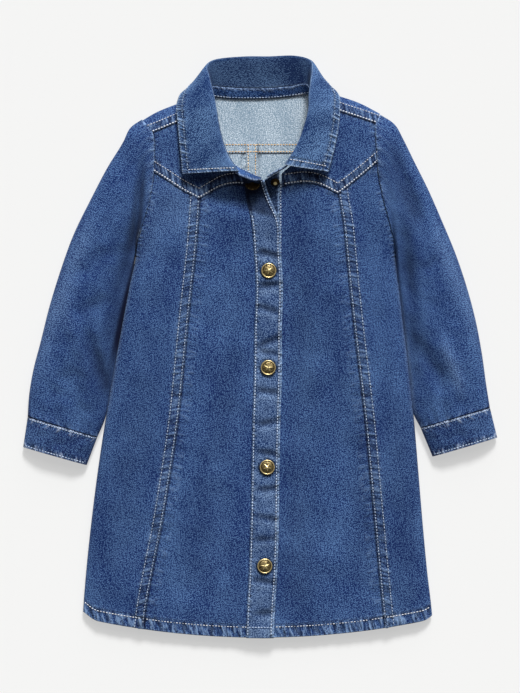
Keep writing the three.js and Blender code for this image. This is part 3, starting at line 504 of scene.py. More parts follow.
def twill_group():
    """Twill weave: slanting ribs of yarns that are thick here and thin there. Its place is in millimetres."""
    tree, inside, out = group_tree(
        "twill_weave",
        [
            ("Place", "NodeSocketVector", None),
            ("Grain", "NodeSocketFloat", 1.0),
            ("Mottle", "NodeSocketFloat", 1.0),
        ],
        [("Tint", "NodeSocketFloat"), ("Height", "NodeSocketFloat")],
    )
    place = node(tree, "ShaderNodeSeparateXYZ", Vector=inside.outputs["Place"])
    x, y = place.outputs[0], place.outputs[1]

    def streaks(squeeze, scale, detail, roughness=0.5):
        """Noise from -0.5 to 0.5 whose spots are drawn out up the cloth by 1 / `squeeze`."""
        drawn = place_of(tree, x, calc(tree, "MULTIPLY", y, squeeze))
        noise = node(tree, "ShaderNodeTexNoise", Vector=drawn, Scale=scale, Detail=detail)
        noise.inputs["Roughness"].default_value = roughness
        return calc(tree, "SUBTRACT", noise.outputs[0], 0.5)

    grain = streaks(0.75, 1.1, 3.0, 0.7)
    slub = streaks(0.16, 0.5, 1.0)
    cloud = streaks(0.45, 0.03, 2.0)
    slant = calc(tree, "SUBTRACT", x, calc(tree, "MULTIPLY", y, TWILL["slant"]))
    rib = calc(tree, "SINE", calc(tree, "MULTIPLY", slant, 2 * math.pi / TWILL["rib"]))
    column = calc(tree, "FLOOR", calc(tree, "MULTIPLY", slant, 1 / TWILL["float_width"]))
    floats_up = calc(tree, "MULTIPLY", y, 1 / TWILL["float_length"])
    row = calc(tree, "FLOOR", calc(tree, "MULTIPLY_ADD", column, TWILL["float_step"], floats_up))

    def paleness(across, up):
        """How pale the yarn float is that lies so many floats across and up from this one."""
        cell = place_of(tree, calc(tree, "ADD", column, across), calc(tree, "ADD", row, up))
        return node(tree, "ShaderNodeTexWhiteNoise", {"noise_dimensions": "2D"}, Vector=cell).outputs["Value"]

    beside = calc(tree, "ADD", paleness(1, 0), paleness(0, 1))
    dyed = calc(tree, "SUBTRACT", paleness(0, 0), calc(tree, "MULTIPLY_ADD", beside, 0.4, 0.1))
    speckle = calc(tree, "MULTIPLY_ADD", grain, 0.4, calc(tree, "MULTIPLY", slub, 0.3))
    speckle = calc(tree, "MULTIPLY_ADD", dyed, 1.6, speckle)
    speckle = calc(tree, "MULTIPLY_ADD", rib, 0.08, speckle)
    speckle = calc(tree, "MULTIPLY", speckle, inside.outputs["Grain"])
    cloud = calc(tree, "MULTIPLY", cloud, inside.outputs["Mottle"])
    tint = between(tree, -0.25, 1.25, calc(tree, "ADD", calc(tree, "ADD", cloud, speckle), 0.45))
    height = calc(tree, "MULTIPLY_ADD", rib, 0.12, calc(tree, "MULTIPLY", grain, 0.5))
    tree.links.new(calc(tree, "POWER", tint, 1.9), out.inputs["Tint"])
    tree.links.new(height, out.inputs["Height"])
    return tree


def pucker_group():
    """Puckers beside a row of thread: slanting ridges that fade white, and painted shade in the hollows
    between them.
    """
    tree, inside, out = group_tree(
        "seam_puckers",
        [(name, "NodeSocketFloat", 0.0) for name in ("Strength", "Along", "Across")],
        [(name, "NodeSocketFloat") for name in ("Faded", "Dark", "Height")],
    )
    strength = inside.outputs["Strength"]
    run = calc(tree, "MULTIPLY_ADD", inside.outputs["Across"], 0.25, inside.outputs["Along"])
    place = place_of(tree, run, calc(tree, "MULTIPLY", inside.outputs["Across"], 0.25))
    ridges = node(tree, "ShaderNodeTexNoise", Vector=place, Scale=0.26, Detail=2.0)
    level = ridges.outputs[0]
    faded = calc(tree, "MULTIPLY", between(tree, 0.52, 0.64, level), strength)
    dark = calc(tree, "MULTIPLY", between(tree, 0.5, 0.36, level), strength)
    tree.links.new(faded, out.inputs["Faded"])
    tree.links.new(dark, out.inputs["Dark"])
    height = calc(tree, "MULTIPLY", calc(tree, "SUBTRACT", level, 0.5), strength)
    tree.links.new(height, out.inputs["Height"])
    return tree


twill_weave = twill_group()
seam_puckers = pucker_group()


def srgb(red, green, blue):
    """A colour by its numbers from 0 to 255, as light."""
    linear = [v / 255 / 12.92 if v <= 10 else ((v / 255 + 0.055) / 1.055) ** 2.4 for v in (red, green, blue)]
    return (*linear, 1)


def new_material(name):
    """A material with nodes, its node tree and its shader."""
    material = bpy.data.materials.new(name)
    material.use_nodes = True
    tree = material.node_tree
    return material, tree, tree.nodes["Principled BSDF"]


def denim(name, deep, pale, faded, grain=1.0, mottle=1.0):
    """Denim: an indigo that the weave speckles, faded on its puckers and edges and lightened by painted
    light, and darkened towards a near-black indigo by painted shade in its hollows and shaded places.
    """
    material, tree, shader = new_material(name)
    cloth = node(tree, "ShaderNodeUVMap", {"uv_map": "cloth"})
    place = node(tree, "ShaderNodeVectorMath", {"operation": "SCALE"}, Vector=cloth.outputs[0], Scale=1000.0)
    weave = node(tree, "ShaderNodeGroup", {"node_tree": twill_weave}, Place=place.outputs[0])
    weave.inputs["Grain"].default_value = grain
    weave.inputs["Mottle"].default_value = mottle
    mark = {key: node(tree, "ShaderNodeAttribute", {"attribute_name": key}).outputs["Fac"] for key in MARKS}
    seam = node(
        tree,
        "ShaderNodeGroup",
        {"node_tree": seam_puckers},
        Strength=mark["rope"],
        Along=mark["along"],
        Across=mark["across"],
    )
    tint = weave.outputs["Tint"]
    patchy = calc(tree, "MULTIPLY", mark["wear_and_painted_light"], calc(tree, "MULTIPLY_ADD", tint, 1.2, 0.2))
    fade = node(tree, "ShaderNodeClamp", Value=calc(tree, "MULTIPLY_ADD", seam.outputs["Faded"], 0.6, patchy))
    # Painted shade: the puckers' hollows and the cloth's shade marks.
    hollow = calc(tree, "MULTIPLY_ADD", seam.outputs["Dark"], 0.55, mark["shaded"])
    dark = node(tree, "ShaderNodeClamp", Value=hollow)
    # The colour that painted shade darkens towards.
    darkest = tuple(0.22 * v for v in deep[:3]) + (1,)
    colour = blend(tree, tint, deep, pale)
    colour = blend(tree, fade.outputs[0], colour, faded)
    colour = blend(tree, dark.outputs[0], colour, darkest)
    feed(tree, shader.inputs["Base Color"], colour)
    yarns = node(tree, "ShaderNodeBump", Height=weave.outputs["Height"], Strength=0.6)
    yarns.inputs["Distance"].default_value = WEAVE_DEPTH / 1000
    puckered = node(tree, "ShaderNodeBump", Height=seam.outputs["Height"], Strength=1.0, Distance=0.004)
    feed(tree, puckered.inputs["Normal"], yarns.outputs[0])
    feed(tree, shader.inputs["Normal"], puckered.outputs[0])
    shader.inputs["Roughness"].default_value = 0.88
    shader.inputs["Specular IOR Level"].default_value = 0.2
    shader.inputs["Sheen Weight"].default_value = 0.03
    shader.inputs["Sheen Roughness"].default_value = 0.5
    return material


body_denim = denim("indigo_denim", srgb(0, 30, 88), srgb(88, 123, 172), srgb(140, 170, 210), mottle=1.3)
reverse_denim = denim(
    "denim_reverse", srgb(128, 152, 172), srgb(231, 243, 252), srgb(220, 228, 236), grain=0.6
)
FACES = (body_denim, reverse_denim)

UNDERLAP = 3.2  # how far a panel runs on under the one that is felled over it
# Distances in from an edge at which a panel has a line of points, closer where the cloth bends more
FINE = [0, 0.5, 1.2, 1.9, 2.8, 3.8, 5, 6.2, 7.4, 8.4, 9.2, 10, 10.9, 12, 14]
ROLLED = [0, 0.4, 1.1, 2.2, 3.8, 6, 8.5, 11.5, 15]
COVERED = [0, 1.4, 2.4, 3.4, 4.4, 5.6, 7.5, 10]
PLAIN = [0, 1.4, 3, 5, 8]
FRONT_ROWS = stops([0, 0.8, 2, 4], 250, [0, 0.8, 2, 4, 6, 8, 9.6, 10.4, 11.2, 12.6, 14.5])


def front_marks(x, y, side, distance, strength):
    """Marks of the long seam, the hem, the armhole and the yoke's edge, on a front panel, with painted light
    and painted shade.
    """
    up_from_hem = y - hem_line(x)
    below_yoke = yoke_line(side)(x) - y
    from_side = np.abs(x - side_edge(side)(y))
    from_armhole = np.where(y > UNDERARM_Y - 10, from_side, 99)
    marks = strongest(
        (strength * fading(9, 13, distance), y, distance),
        (fading(10, 14, up_from_hem), x, up_from_hem),
        (0.5 * fading(1, 9, from_armhole), y, from_armhole),
        (0.45 * fading(1, 8, below_yoke), x, below_yoke),
    )
    painted_light_and_shade = folds_at(BODY_PAINTED_LIGHT_AND_SHADE, x, y)
    beside_sleeve = smooth(-90, -60, y) * fading(UNDERARM_Y - 5, UNDERARM_Y, y)
    marks["wear_and_painted_light"] = np.clip(painted_light_and_shade, 0, 1) + 0.5 * fading(0.2, 1.6, up_from_hem) + 0.6 * hem_ribs(x, up_from_hem)
    # Painted light along the body's side edge beside the sleeve.
    marks["wear_and_painted_light"] = marks["wear_and_painted_light"] + 0.35 * fading(0.5, 4.5, from_side) * beside_sleeve
    # Painted shade: the body's dark patches, a shadow line under the yoke's edge, the groove of the hem's row
    # of thread, the collar's shadow and the line under the sleeve's head.
    hem_groove = peak(up_from_hem, HEM["row"], 1.0)
    marks["shaded"] = np.clip(-painted_light_and_shade, 0, 1) + 0.85 * fading(0.2, 1.7, below_yoke) + 0.5 * hem_groove
    marks["shaded"] = marks["shaded"] + 0.5 * painted_collar_shadow(x, y)
    marks["shaded"] = marks["shaded"] + under_sleeve_head(from_armhole, y)
    return marks


def painted_collar_shadow(x, y):
    """Painted shadow on the cloth where the collar's points meet, from 0 to 1."""
    low_edge = 133 - 0.25 * (x + 6)
    return np.exp(-(((x + 6) / 25) ** 4)) * smooth(low_edge - 3, low_edge + 3, y)


def under_sleeve_head(from_armhole, y):
    """Painted shade: the dark line on the shoulder where the sleeve's head stands over the body's edge, from
    0 to 0.7.
    """
    return 0.7 * fading(0.9, 2.2, from_armhole) * smooth(156, 168, y)


def hem_ribs(x, up_from_hem):
    """The ropelike ribs of a turned-up hem that has shrunk against its thread."""
    below = puckers(x, up_from_hem, 12.5, 9)
    above = puckers(x, up_from_hem, 6.5, 14) * smooth(10.5, 11.5, up_from_hem)
    return below + 0.5 * above


def seam_ribs(along, from_edge):
    """Short puckers between a felled seam's two rows of thread."""
    return puckers(along, from_edge, 4.8, 9)


def seam_hollow_shade(along, from_edge):
    """Painted shade in the hollows between those puckers."""
    return (1 - seam_ribs(along, from_edge)) ** 2 * fading(7.5, 9.5, from_edge)


def hem_extra(x, y):
    """How much thicker the panel is where its hem is turned up."""
    return HEM["extra"] * fading(HEM["depth"], HEM["depth"] + HEM["ramp"], y - hem_line(x))


def tuck(past_edge):
    """How far a panel dips, once it is past the edge of the one that is felled over it."""
    return -0.7 * smooth(-0.6, 0.9, past_edge)


def under_yoke(side):
    """A front panel's upper edge, y from x, which runs in under the yoke."""
    return lambda x: yoke_line(side)(x) + UNDERLAP


def side_front(side):
    """The panel along the side seam, felled over the centre panel."""
    seam, outer = princess[side], side_edge(side)
    if side == "left":
        x, y = panel(outer, seam, under_yoke(side), hem_line, stops(ROLLED, 30, FINE), FRONT_ROWS)
    else:
        x, y = panel(seam, outer, under_yoke(side), hem_line, stops(FINE, 30, ROLLED), FRONT_ROWS)
    distance = np.abs(x - seam(y))
    up_from_hem = y - hem_line(x)
    z = face_z[side](x, y) + welt_at(distance) + tuck(y - yoke_line(side)(x))
    z = z - 0.25 * peak(up_from_hem, HEM["row"], 1.0) + 0.7 * hem_ribs(x, up_from_hem)
    z = z + 0.45 * seam_ribs(y, distance)
    grid = np.stack([x, y, z], 2)
    marks = front_marks(x, y, side, distance, 0.6)
    # Painted shade in the seam's grooves and in the hollows between its puckers.
    marks["shaded"] = marks["shaded"] + 0.55 * seam_grooves(distance) + 0.25 * seam_hollow_shade(y, distance)
    marks["wear_and_painted_light"] = marks["wear_and_painted_light"] + 0.35 * fading(0.1, 1.2, distance) + 0.42 * seam_ribs(y, distance)
    rolled_edge = 0 if side == "left" else grid.shape[1] - 1
    middle = grid.shape[1] // 2
    place = (x[:, [middle]] + unrolled(grid, middle, 1), y)
    wall = wall_of(grid, (CLOTH + hem_extra(x, y))[..., None], upright=[rolled_edge])
    walls = [{"wall": wall, "place": place, "marks": marks}]
    piece = cloth_object(f"front_side_{side}_cloth", walls, FACES)
    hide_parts(f"front_side_{side}")
    return piece


def under_placket_right(y):
    """The right front's own edge, just inside the over placket's."""
    return np.minimum(21, body["placket_r"](np.minimum(y, 90)) - 1.6) - 3 * smooth(-180, -285, y)


def centre_front(side):
    """The panel along the placket, which runs in under the side panel."""
    seam = princess[side]
    under_side = lambda y: seam(y) + outwards[side] * UNDERLAP
    if side == "left":
        inner = body["placket_l"]
        ends = (under_side, lambda y: inner(y) + UNDERLAP)
        columns = stops(COVERED, 42, PLAIN)
    else:
        inner = under_placket_right
        ends = (lambda y: inner(y) + 0.2, under_side)
        columns = stops(PLAIN, 48, COVERED)
    x, y = panel(*ends, under_yoke(side), hem_line, columns, FRONT_ROWS)
    distance = outwards[side] * (seam(y) - x)
    z = face_z[side](x, y) + tuck(-distance) + tuck(y - yoke_line(side)(x))
    z = z + 0.7 * hem_ribs(x, y - hem_line(x))
    if side == "left":
        z = z + tuck(x - inner(y))
    marks = front_marks(x, y, side, np.abs(distance), 0.3)
    # Painted shadow along the edge of the side panel felled over this one, and beside the placket's edge.
    marks["shaded"] = marks["shaded"] + 0.9 * fading(0.3, 1.9, distance)
    marks["shaded"] = marks["shaded"] + 0.35 * fading(0.2, 1.6, np.abs(x - inner(y)))
    wall = wall_of(np.stack([x, y, z], 2), (CLOTH + hem_extra(x, y))[..., None])
    walls = [{"wall": wall, "place": (x, y), "marks": marks}]
    piece = cloth_object(f"front_centre_{side}_cloth", walls, FACES)
    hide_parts(f"front_centre_{side}")
    return piece


def thread_material(name, light, dark):
    """Cotton-wrapped topstitching thread, each stitch a little different."""
    material, tree, shader = new_material(name)
    spots = node(tree, "ShaderNodeTexCoord")
    change = node(tree, "ShaderNodeTexNoise", Vector=spots.outputs["Object"], Scale=190.0, Detail=2.0)
    paler = between(tree, 0.35, 0.65, change.outputs[0])
    feed(tree, shader.inputs["Base Color"], blend(tree, paler, dark, light))
    twist = node(tree, "ShaderNodeTexWave", Vector=spots.outputs["Object"], Scale=900.0, Distortion=1.0)
    bump = node(tree, "ShaderNodeBump", Height=twist.outputs["Fac"], Strength=0.4, Distance=0.0001)
    feed(tree, shader.inputs["Normal"], bump.outputs[0])
    shader.inputs["Roughness"].default_value = 0.7
    shader.inputs["Specular IOR Level"].default_value = 0.3
    return material


cream_thread = thread_material("cream_thread", srgb(238, 242, 250), srgb(206, 213, 226))
white_thread = thread_material("white_thread", srgb(214, 231, 255), srgb(162, 182, 212))
gold_thread = thread_material("gold_thread", srgb(250, 214, 160), srgb(222, 170, 108))
STITCH = {"pitch": 3.0, "length": 2.15, "width": 0.95, "sides": 6, "above_cloth": 0.22}
STITCH_RINGS = ((-0.5, 0.4, -0.55), (-0.3, 1.0, 0.0), (0.3, 1.0, 0.0), (0.5, 0.4, -0.55))


def on_surface(surface, x, y, up=1):
    """Points and outward directions along a line in plan on a surface z(x, y)."""
    x, y = np.broadcast_arrays(np.asarray(x, float), np.asarray(y, float))
    reach = 0.8
    slope_x = (surface(x + reach, y) - surface(x - reach, y)) / (2 * reach)
    slope_y = (surface(x, y + reach) - surface(x, y - reach)) / (2 * reach)
    normal = np.stack([-slope_x, -slope_y, np.ones_like(x)], 1) * up
    points = np.stack([x, y, surface(x, y)], 1)
    return points, unit(normal)


def one_stitch():
    """Points and faces of a rounded bar, 1 long and 1 in radius, that sinks in at both ends."""
    sides = STITCH["sides"]
    points = []
    for along, radius, sink in STITCH_RINGS:
        for angle in np.arange(sides) * 2 * np.pi / sides:
            points.append((along, radius * np.cos(angle), radius * np.sin(angle) * 0.8 + sink))
    faces = []
    for start in range(0, len(points) - sides, sides):
        for i in range(sides):
            j = (i + 1) % sides
            faces.append((start + i, start + j, start + sides + j, start + sides + i))
    faces.append(tuple(range(sides))[::-1])
    faces.append(tuple(range(len(points) - sides, len(points))))
    return np.array(points), faces


def stitches(name, material, rows, width=STITCH["width"]):
    """Rows of single stitches. A row is its points, its outward directions and, if not 1, its thickness."""
    bar, bar_faces = one_stitch()
    vertices, faces = [], []
    for points, normals, *thicker in rows:
        thick = width * (thicker[0] if thicker else 1)
        step = np.linalg.norm(np.diff(points, axis=0), axis=1)
        run = np.concatenate([[0], np.cumsum(step)])
        centres = np.arange(STITCH["pitch"] / 2, run[-1], STITCH["pitch"])
        at = lambda s, values: np.stack([np.interp(s, run, values[:, k]) for k in range(3)], 1)
        middle = at(centres, points)
        heading = unit(at(centres + 0.5, points) - at(centres - 0.5, points))
        up = unit(at(centres, normals))
        beside = np.cross(up, heading)
        for i in range(len(centres)):
            axes = np.stack([heading[i] * STITCH["length"], beside[i] * thick / 2, up[i] * thick / 2])
            start = len(vertices) * len(bar)
            vertices.append(middle[i] + up[i] * thick * STITCH["above_cloth"] + bar @ axes)
            faces += [tuple(v + start for v in face) for face in bar_faces]
    mesh = bpy.data.meshes.new(name)
    mesh.from_pydata(in_frame(np.concatenate(vertices)), [], faces)
    mesh.polygons.foreach_set("use_smooth", np.ones(len(faces), bool))
    mesh.materials.append(material)
    return add_piece(name, mesh)


HEM_ROW_ENDS = {"left": (-175.5, -14), "right": (169, 16)}


def front_thread(side):
    """The two rows along the princess seam, and the row along the hem on both sides of it."""
    seam, height, sign = princess[side], face_z[side], outwards[side]
    ridge = lambda x, y: height(x, y) + welt_at(np.abs(x - seam(y)))
    rows = []
    for from_edge in SEAM_ROWS:
        y = np.linspace(160, -291, 400)
        x = seam(y) + sign * from_edge
        inside = (y < yoke_line(side)(x) - 1) & (y > hem_line(x) + 1)
        rows.append(on_surface(ridge, x[inside], y[inside]))
    seam_thread = stitches(f"princess_stitches_{side}", white_thread, rows, width=0.72)
    at_seam = float(seam(-280))
    x_out = np.linspace(HEM_ROW_ENDS[side][0], at_seam + sign * 2, 90)
    x_in = np.linspace(at_seam - sign * 2, HEM_ROW_ENDS[side][1], 120)
    hem_rows = [
        on_surface(lambda x, y: ridge(x, y) - 0.1, x_out, hem_line(x_out) + HEM["row"]),
        on_surface(lambda x, y: height(x, y) - 0.25, x_in, hem_line(x_in) + HEM["row"]),
    ]
    return seam_thread, stitches(f"hem_stitches_{side}", cream_thread, hem_rows)


FRONT_CUTS = {
    "left": {"side": (0.074, 0.46), "side_area": 0.0293, "centre": (0.11, 0.456), "centre_area": 0.0368},
    "right": {"side": (0.052, 0.469), "side_area": 0.022, "centre": (0.118, 0.457), "centre_area": 0.0395},
}
for side, cut in FRONT_CUTS.items():
    side_piece = side_front(side)
    centre_piece = centre_front(side)
    seam_thread, hem_thread = front_thread(side)

# Front yokes
# Each front's top is a pointed yoke, felled over the two panels below it with two rows of thread.

NECKLINE_FRONT = table(
    "y     left    right",
    (160, -1, 4.4),
    (168.5, -14.5, 13.4),
    (175, -25, 23.4),
    (187, -34, 34.4),
    (202, -41.5, 42.4),
    (219, -47.5, 48.9),
    (238, -52, 53.4),
    (258, -53.5, 55.4),
)
NECK_GAP = 2
neck_front = {"left": line(NECKLINE_FRONT, "y", "left"), "right": line(NECKLINE_FRONT, "y", "right")}
SQUARE_TO_YOKE = 0.86  # of the height above the yoke's edge, because that edge slants
YOKE_ROW_ENDS = {"left": (-114, -17), "right": (24, 122)}


def across_yoke(side, x, y):
    """Distance up from the yoke's pointed edge, square to it."""
    return (y - yoke_line(side)(x)) * SQUARE_TO_YOKE


def yoke_panel(side):
    """x and y over a front yoke, with a column of points right at the tip of its point."""
    if side == "left":
        inner = lambda y: np.minimum(neck_front["left"](y) - NECK_GAP, body["placket_l"](y) + 2)
        ends = (armhole["left"], inner)
    else:
        inner = lambda y: np.maximum(neck_front["right"](y) + NECK_GAP, 21.4)
        ends = (inner, armhole["right"])
    tip_y = yoke_line(side)(yoke_point[side])
    tip = (yoke_point[side] - ends[0](tip_y)) / (ends[1](tip_y) - ends[0](tip_y))
    shares = np.concatenate([np.linspace(0, tip, 40), np.linspace(tip, 1, 36)[1:]])
    rows = stops([0, 0.8, 2, 4], 30, FINE)
    under_shoulder = lambda x: shoulder_seam(x) + UNDERLAP
    return panel(*ends, under_shoulder, yoke_line(side), (shares, np.zeros(len(shares))), rows)


def yoke_marks(side, x, y, above, below_shoulder):
    """Marks of the yoke's edge, the shoulder seam and the armhole, with painted light and painted shade."""
    from_armhole = np.abs(x - armhole[side](y))
    marks = strongest(
        (0.8 * fading(9, 13, above), x, above),
        (0.5 * fading(1, 8, below_shoulder), x, below_shoulder),
        (0.5 * fading(1, 9, from_armhole), y, from_armhole),
    )
    painted_light_and_shade = folds_at(BODY_PAINTED_LIGHT_AND_SHADE, x, y)
    # Painted shade in the seam's grooves, under the shoulder seam, in the body's dark patches, in the pucker
    # hollows, under the collar and under the sleeve's head.
    marks["shaded"] = 0.55 * seam_grooves(above) + 0.95 * fading(0.3, 2.2, below_shoulder)
    marks["shaded"] = marks["shaded"] + np.clip(-painted_light_and_shade, 0, 1) + 0.32 * seam_hollow_shade(x, above)
    marks["shaded"] = marks["shaded"] + 0.5 * painted_collar_shadow(x, y)
    marks["shaded"] = marks["shaded"] + under_sleeve_head(from_armhole, y)
    # The yoke's edge and its puckers have faded; the body's light patches add painted light.
    marks["wear_and_painted_light"] = 0.45 * fading(0.1, 1.2, above) + np.clip(painted_light_and_shade, 0, 1) + 0.7 * seam_ribs(x, above)
    return marks


def front_yoke(side):
    """One front's yoke, with the two rows of thread along its point."""
    height = face_z[side]
    x, y = yoke_panel(side)
    above = across_yoke(side, x, y)
    below_shoulder = shoulder_seam(x) - y
    z = height(x, y) + welt_at(above) + tuck(-below_shoulder) + 0.4 * seam_ribs(x, above)
    marks = yoke_marks(side, x, y, above, below_shoulder)
    wall = wall_of(np.stack([x, y, z], 2), CLOTH)
    walls = [{"wall": wall, "place": (x, y), "marks": marks}]
    piece = cloth_object(f"front_yoke_{side}_cloth", walls, FACES)
    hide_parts(f"front_yoke_{side}")
    ridge = lambda x, y: height(x, y) + welt_at(across_yoke(side, x, y))
    rows = []
    for from_edge, thicker in zip(SEAM_ROWS, (1.35, 0.8)):
        x = np.linspace(*YOKE_ROW_ENDS[side], 200)
        y = yoke_line(side)(x) + from_edge / SQUARE_TO_YOKE
        inside = (x > armhole["left"](y)) & (x < armhole["right"](y))
        rows.append((*on_surface(ridge, x[inside], y[inside]), thicker))
    thread = stitches(f"yoke_stitches_{side}", cream_thread, rows)


front_yoke("left")
front_yoke("right")

# Plackets
# Two strips of doubled denim down the opening, the left one over the right one. Their edges have faded.
# The top snap is open, so the over placket's top stands away and swings to the left.

DOUBLE_CLOTH = 2
OVER_PLACKET_Z = 3.1
UNDER_PLACKET_Z = 0.6
UNDER_PLACKET_WIDTH = 26
SEWN_ROW = 1.4  # the over placket's rows of thread, in from its sewn edge and from its free edge
FREE_ROW = 2.8
SNAP_SHADE_RING = 8.2  # radius of the painted shade ring round each cap, where it presses into the cloth
placket_denim = denim("placket_denim", srgb(4, 42, 92), srgb(114, 142, 184), srgb(152, 180, 216), mottle=1.3)
PLACKET_FOLDS = table(
    FOLD_COLUMNS,
    (8, 92, -14, 11, 3.0, -2.2),
    (9, 61, 4, 10, 2.6, -2.0),
    (10, 66.5, 0, 9, 2.4, 1.2),
    (8, 37, -14, 11, 2.8, -1.5),
    (9, 5, 24, 12, 2.8, -1.7),
    (9, -6, -10, 10, 2.6, -1.4),
    (8, -45, -4, 11, 2.8, -1.7),
    (8, -76, 10, 11, 2.6, -1.5),
    (7, -106, -10, 11, 2.8, -1.8),
    (7, -142, 6, 11, 2.8, -1.7),
    (7, -171, -12, 11, 2.8, -1.6),
    (6, -192, 4, 11, 2.6, -1.5),
    (4, -234, -8, 11, 2.8, -1.8),
    (3, -266, 6, 11, 3, -1.5),
)
# Where each cap sits, how far it stands off the placket, how its star is turned, and, for the cap at the
# neck, how much painted shade darkens it
SNAPS = {
    "snap_neck": {"x": -7.5, "y": 162.6, "stand": -3.4, "turn": 10, "lean": 1.7, "painted_shade": 1.35},
    "snap_chest": {"x": 8.5, "y": 75.5, "stand": 0.35, "turn": 24},
    "snap_waist": {"x": 8, "y": -21, "stand": 0.35, "turn": -8},
    "snap_hip": {"x": 7, "y": -120, "stand": 0.35, "turn": 40},
    "snap_hem": {"x": 4.5, "y": -218.5, "stand": 0.35, "turn": 5},
}


def placket_creases(x, y):
    """Short slanting creases, one after another down the strip."""
    return folds_at(PLACKET_FOLDS, x, y) + 0.25 * unevenness(x, y, 13, 5)


def over_placket_z(x, y):
    """The over placket's face, which stands up where its top is open."""
    return front_z(x, y) + OVER_PLACKET_Z + open_top(x, y) + placket_creases(x, y)


def under_placket_z(x, y):
    """The under placket's face, flat on the right front's edge."""
    return front_z(x, y) + UNDER_PLACKET_Z


def strip_marks(x, y, start, end, crease):
    """Marks of a sewn strip: puckers at both rows of thread and a faded edge, with painted shade in its
    creases, along its rows of thread, round its snaps and under the collar, and painted light just below its
    creases.
    """
    from_start = x - start(y)
    from_end = end(y) - x
    marks = strongest(
        (0.75 * fading(2, 6, from_start), y, from_start),
        (0.75 * fading(2, 6, from_end), y + 50, from_end),
    )
    marks["wear_and_painted_light"] = 0.95 * fading(0.7, 2.2, from_end) + 0.4 * fading(0.2, 1.0, from_start)
    # Painted light on the cloth just below each crease.
    marks["wear_and_painted_light"] = marks["wear_and_painted_light"] + 0.2 * crease * np.clip(-placket_creases(x, y + 6), 0, 1.5)
    marks["wear_and_painted_light"] = marks["wear_and_painted_light"] + 0.35 * fading(8, 11, y - hem_line(x))
    # Painted shade in the creases, along the rows of thread, round each snap and under the collar.
    marks["shaded"] = crease * 0.42 * np.clip(-placket_creases(x, y), 0, 1.5)
    stitch_row_shade = peak(from_end, FREE_ROW, 0.8) + peak(from_start, 1.5, 0.8)
    snap_ring_shade = sum(peak(np.hypot(x - snap["x"], y - snap["y"]), SNAP_SHADE_RING, 0.8) for snap in SNAPS.values())
    marks["shaded"] = marks["shaded"] + 0.55 * stitch_row_shade + crease * snap_ring_shade
    marks["shaded"] = marks["shaded"] + 0.8 * painted_collar_shadow(x, y) * smooth(1.5, 4, from_end)
    return marks


strip_rows = stops([0, 0.8, 2], 215, [0, 1, 2.5])
strip_columns = stops([0, 0.5, 1.3, 2.2, 3.4], 10, [0, 0.5, 1.3, 2.2, 3.4])


def curled_placket_z(x, y):
    """The over placket's face, with its free edge curled up at the open top."""
    return over_placket_z(x, y) + 3.2 * smooth(128, 158, y) * peak(body["placket_r"](y) - x, 0, 4.5)


def placket(layer, ends, top, bottom, surface, thickness, crease):
    """One strip of doubled denim between two side lines, x from y, and two end lines, y from x."""
    x, y = panel(*ends, top, bottom, strip_columns, strip_rows)
    wall = wall_of(np.stack([x, y, surface(x, y)], 2), thickness)
    marks = strip_marks(x, y, *ends, crease)
    walls = [{"wall": wall, "place": (x, y), "marks": marks}]
    piece = cloth_object(f"placket_{layer}_cloth", walls, (placket_denim, placket_denim))
    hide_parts(f"placket_{layer}")
    return piece


over_ends = (body["placket_l"], body["placket_r"])
over_top = lambda x: 171.6 - 8.2 * np.clip((x + 17) / 19, 0, 1)
over_bottom = lambda x: hem_line(x) - 0.4
over_placket = placket("over", over_ends, over_top, over_bottom, curled_placket_z, DOUBLE_CLOTH, 1)
y = np.linspace(166, -289, 320)
below_lap = y[y < 131]
x = np.linspace(-12, 12, 30)
over_rows = [
    on_surface(over_placket_z, over_ends[0](below_lap) + SEWN_ROW, below_lap),
    on_surface(curled_placket_z, over_ends[1](y) - FREE_ROW, y),
    on_surface(over_placket_z, x, hem_line(x) + HEM["row"]),
]
over_thread = stitches("placket_over_stitches", white_thread, over_rows)

under_left = lambda y: np.maximum(under_placket_right(y) - UNDER_PLACKET_WIDTH, body["placket_l"](y) + 1)
under_ends = (under_left, under_placket_right)
under_top = lambda x: 158.8 + 15.2 * np.clip((x + 5) / 26, 0, 1)
under_bottom = lambda x: hem_line(x) + 1.2
under_placket = placket("under", under_ends, under_top, under_bottom, under_placket_z, DOUBLE_CLOTH - 0.2, 0)
y = np.linspace(171, -287, 320)
under_rows = [on_surface(front_z, under_placket_right(y) + 1.2, y)]
under_thread = stitches("placket_under_stitches", white_thread, under_rows)

# Backs
# Two panels meet in a felled seam down the middle, below the yoke. Their pale reverse shows in the neck.

BACK_YOKE_Y = 197
BACK_SEAM_X = -10
FELLED_TOP = 2.1


def back_z(x, y):
    """Height of the back's outer face, which rests on the surface and curves up to the side seams."""
    from_side = np.minimum(x - body["side_l"](y), body["side_r"](y) - x)
    from_side = np.where(y > UNDERARM_Y, SIDE_ROUNDING["back"], from_side)
    return (SIDE_SEAM_Z - SEAM_GAP / 2) * (1 - rounded(from_side, SIDE_ROUNDING["back"]))


FELLED_STRIPS = {  # from x, to x, from y, to y
    "left": [(-104, -14.4, 193.6, 203.2)],
    "right": [(-14, -2.8, -278, 203.2), (-2.4, 113, 193.6, 203.2)],
}


def felled_strip(left, right, low, high):
    """A seam's folded allowance, sewn down flat inside the back."""
    x, y = np.meshgrid(np.linspace(left, right, 60), np.linspace(low, high, 60))
    z = CLOTH + 0.12 * unevenness(x, y, 9, 4)
    from_side = np.minimum(np.minimum(x - left, right - x), np.minimum(y - low, high - y))
    # A little painted shade over the strip, and more along its edges.
    marks = {"rope": 0.2 + 0 * x, "along": x + y, "across": y, "shaded": 0.05 + 0.3 * (from_side < 0.5)}
    return {"wall": wall_of(np.stack([x, y, z], 2), 0.9), "place": (x, y), "marks": marks}


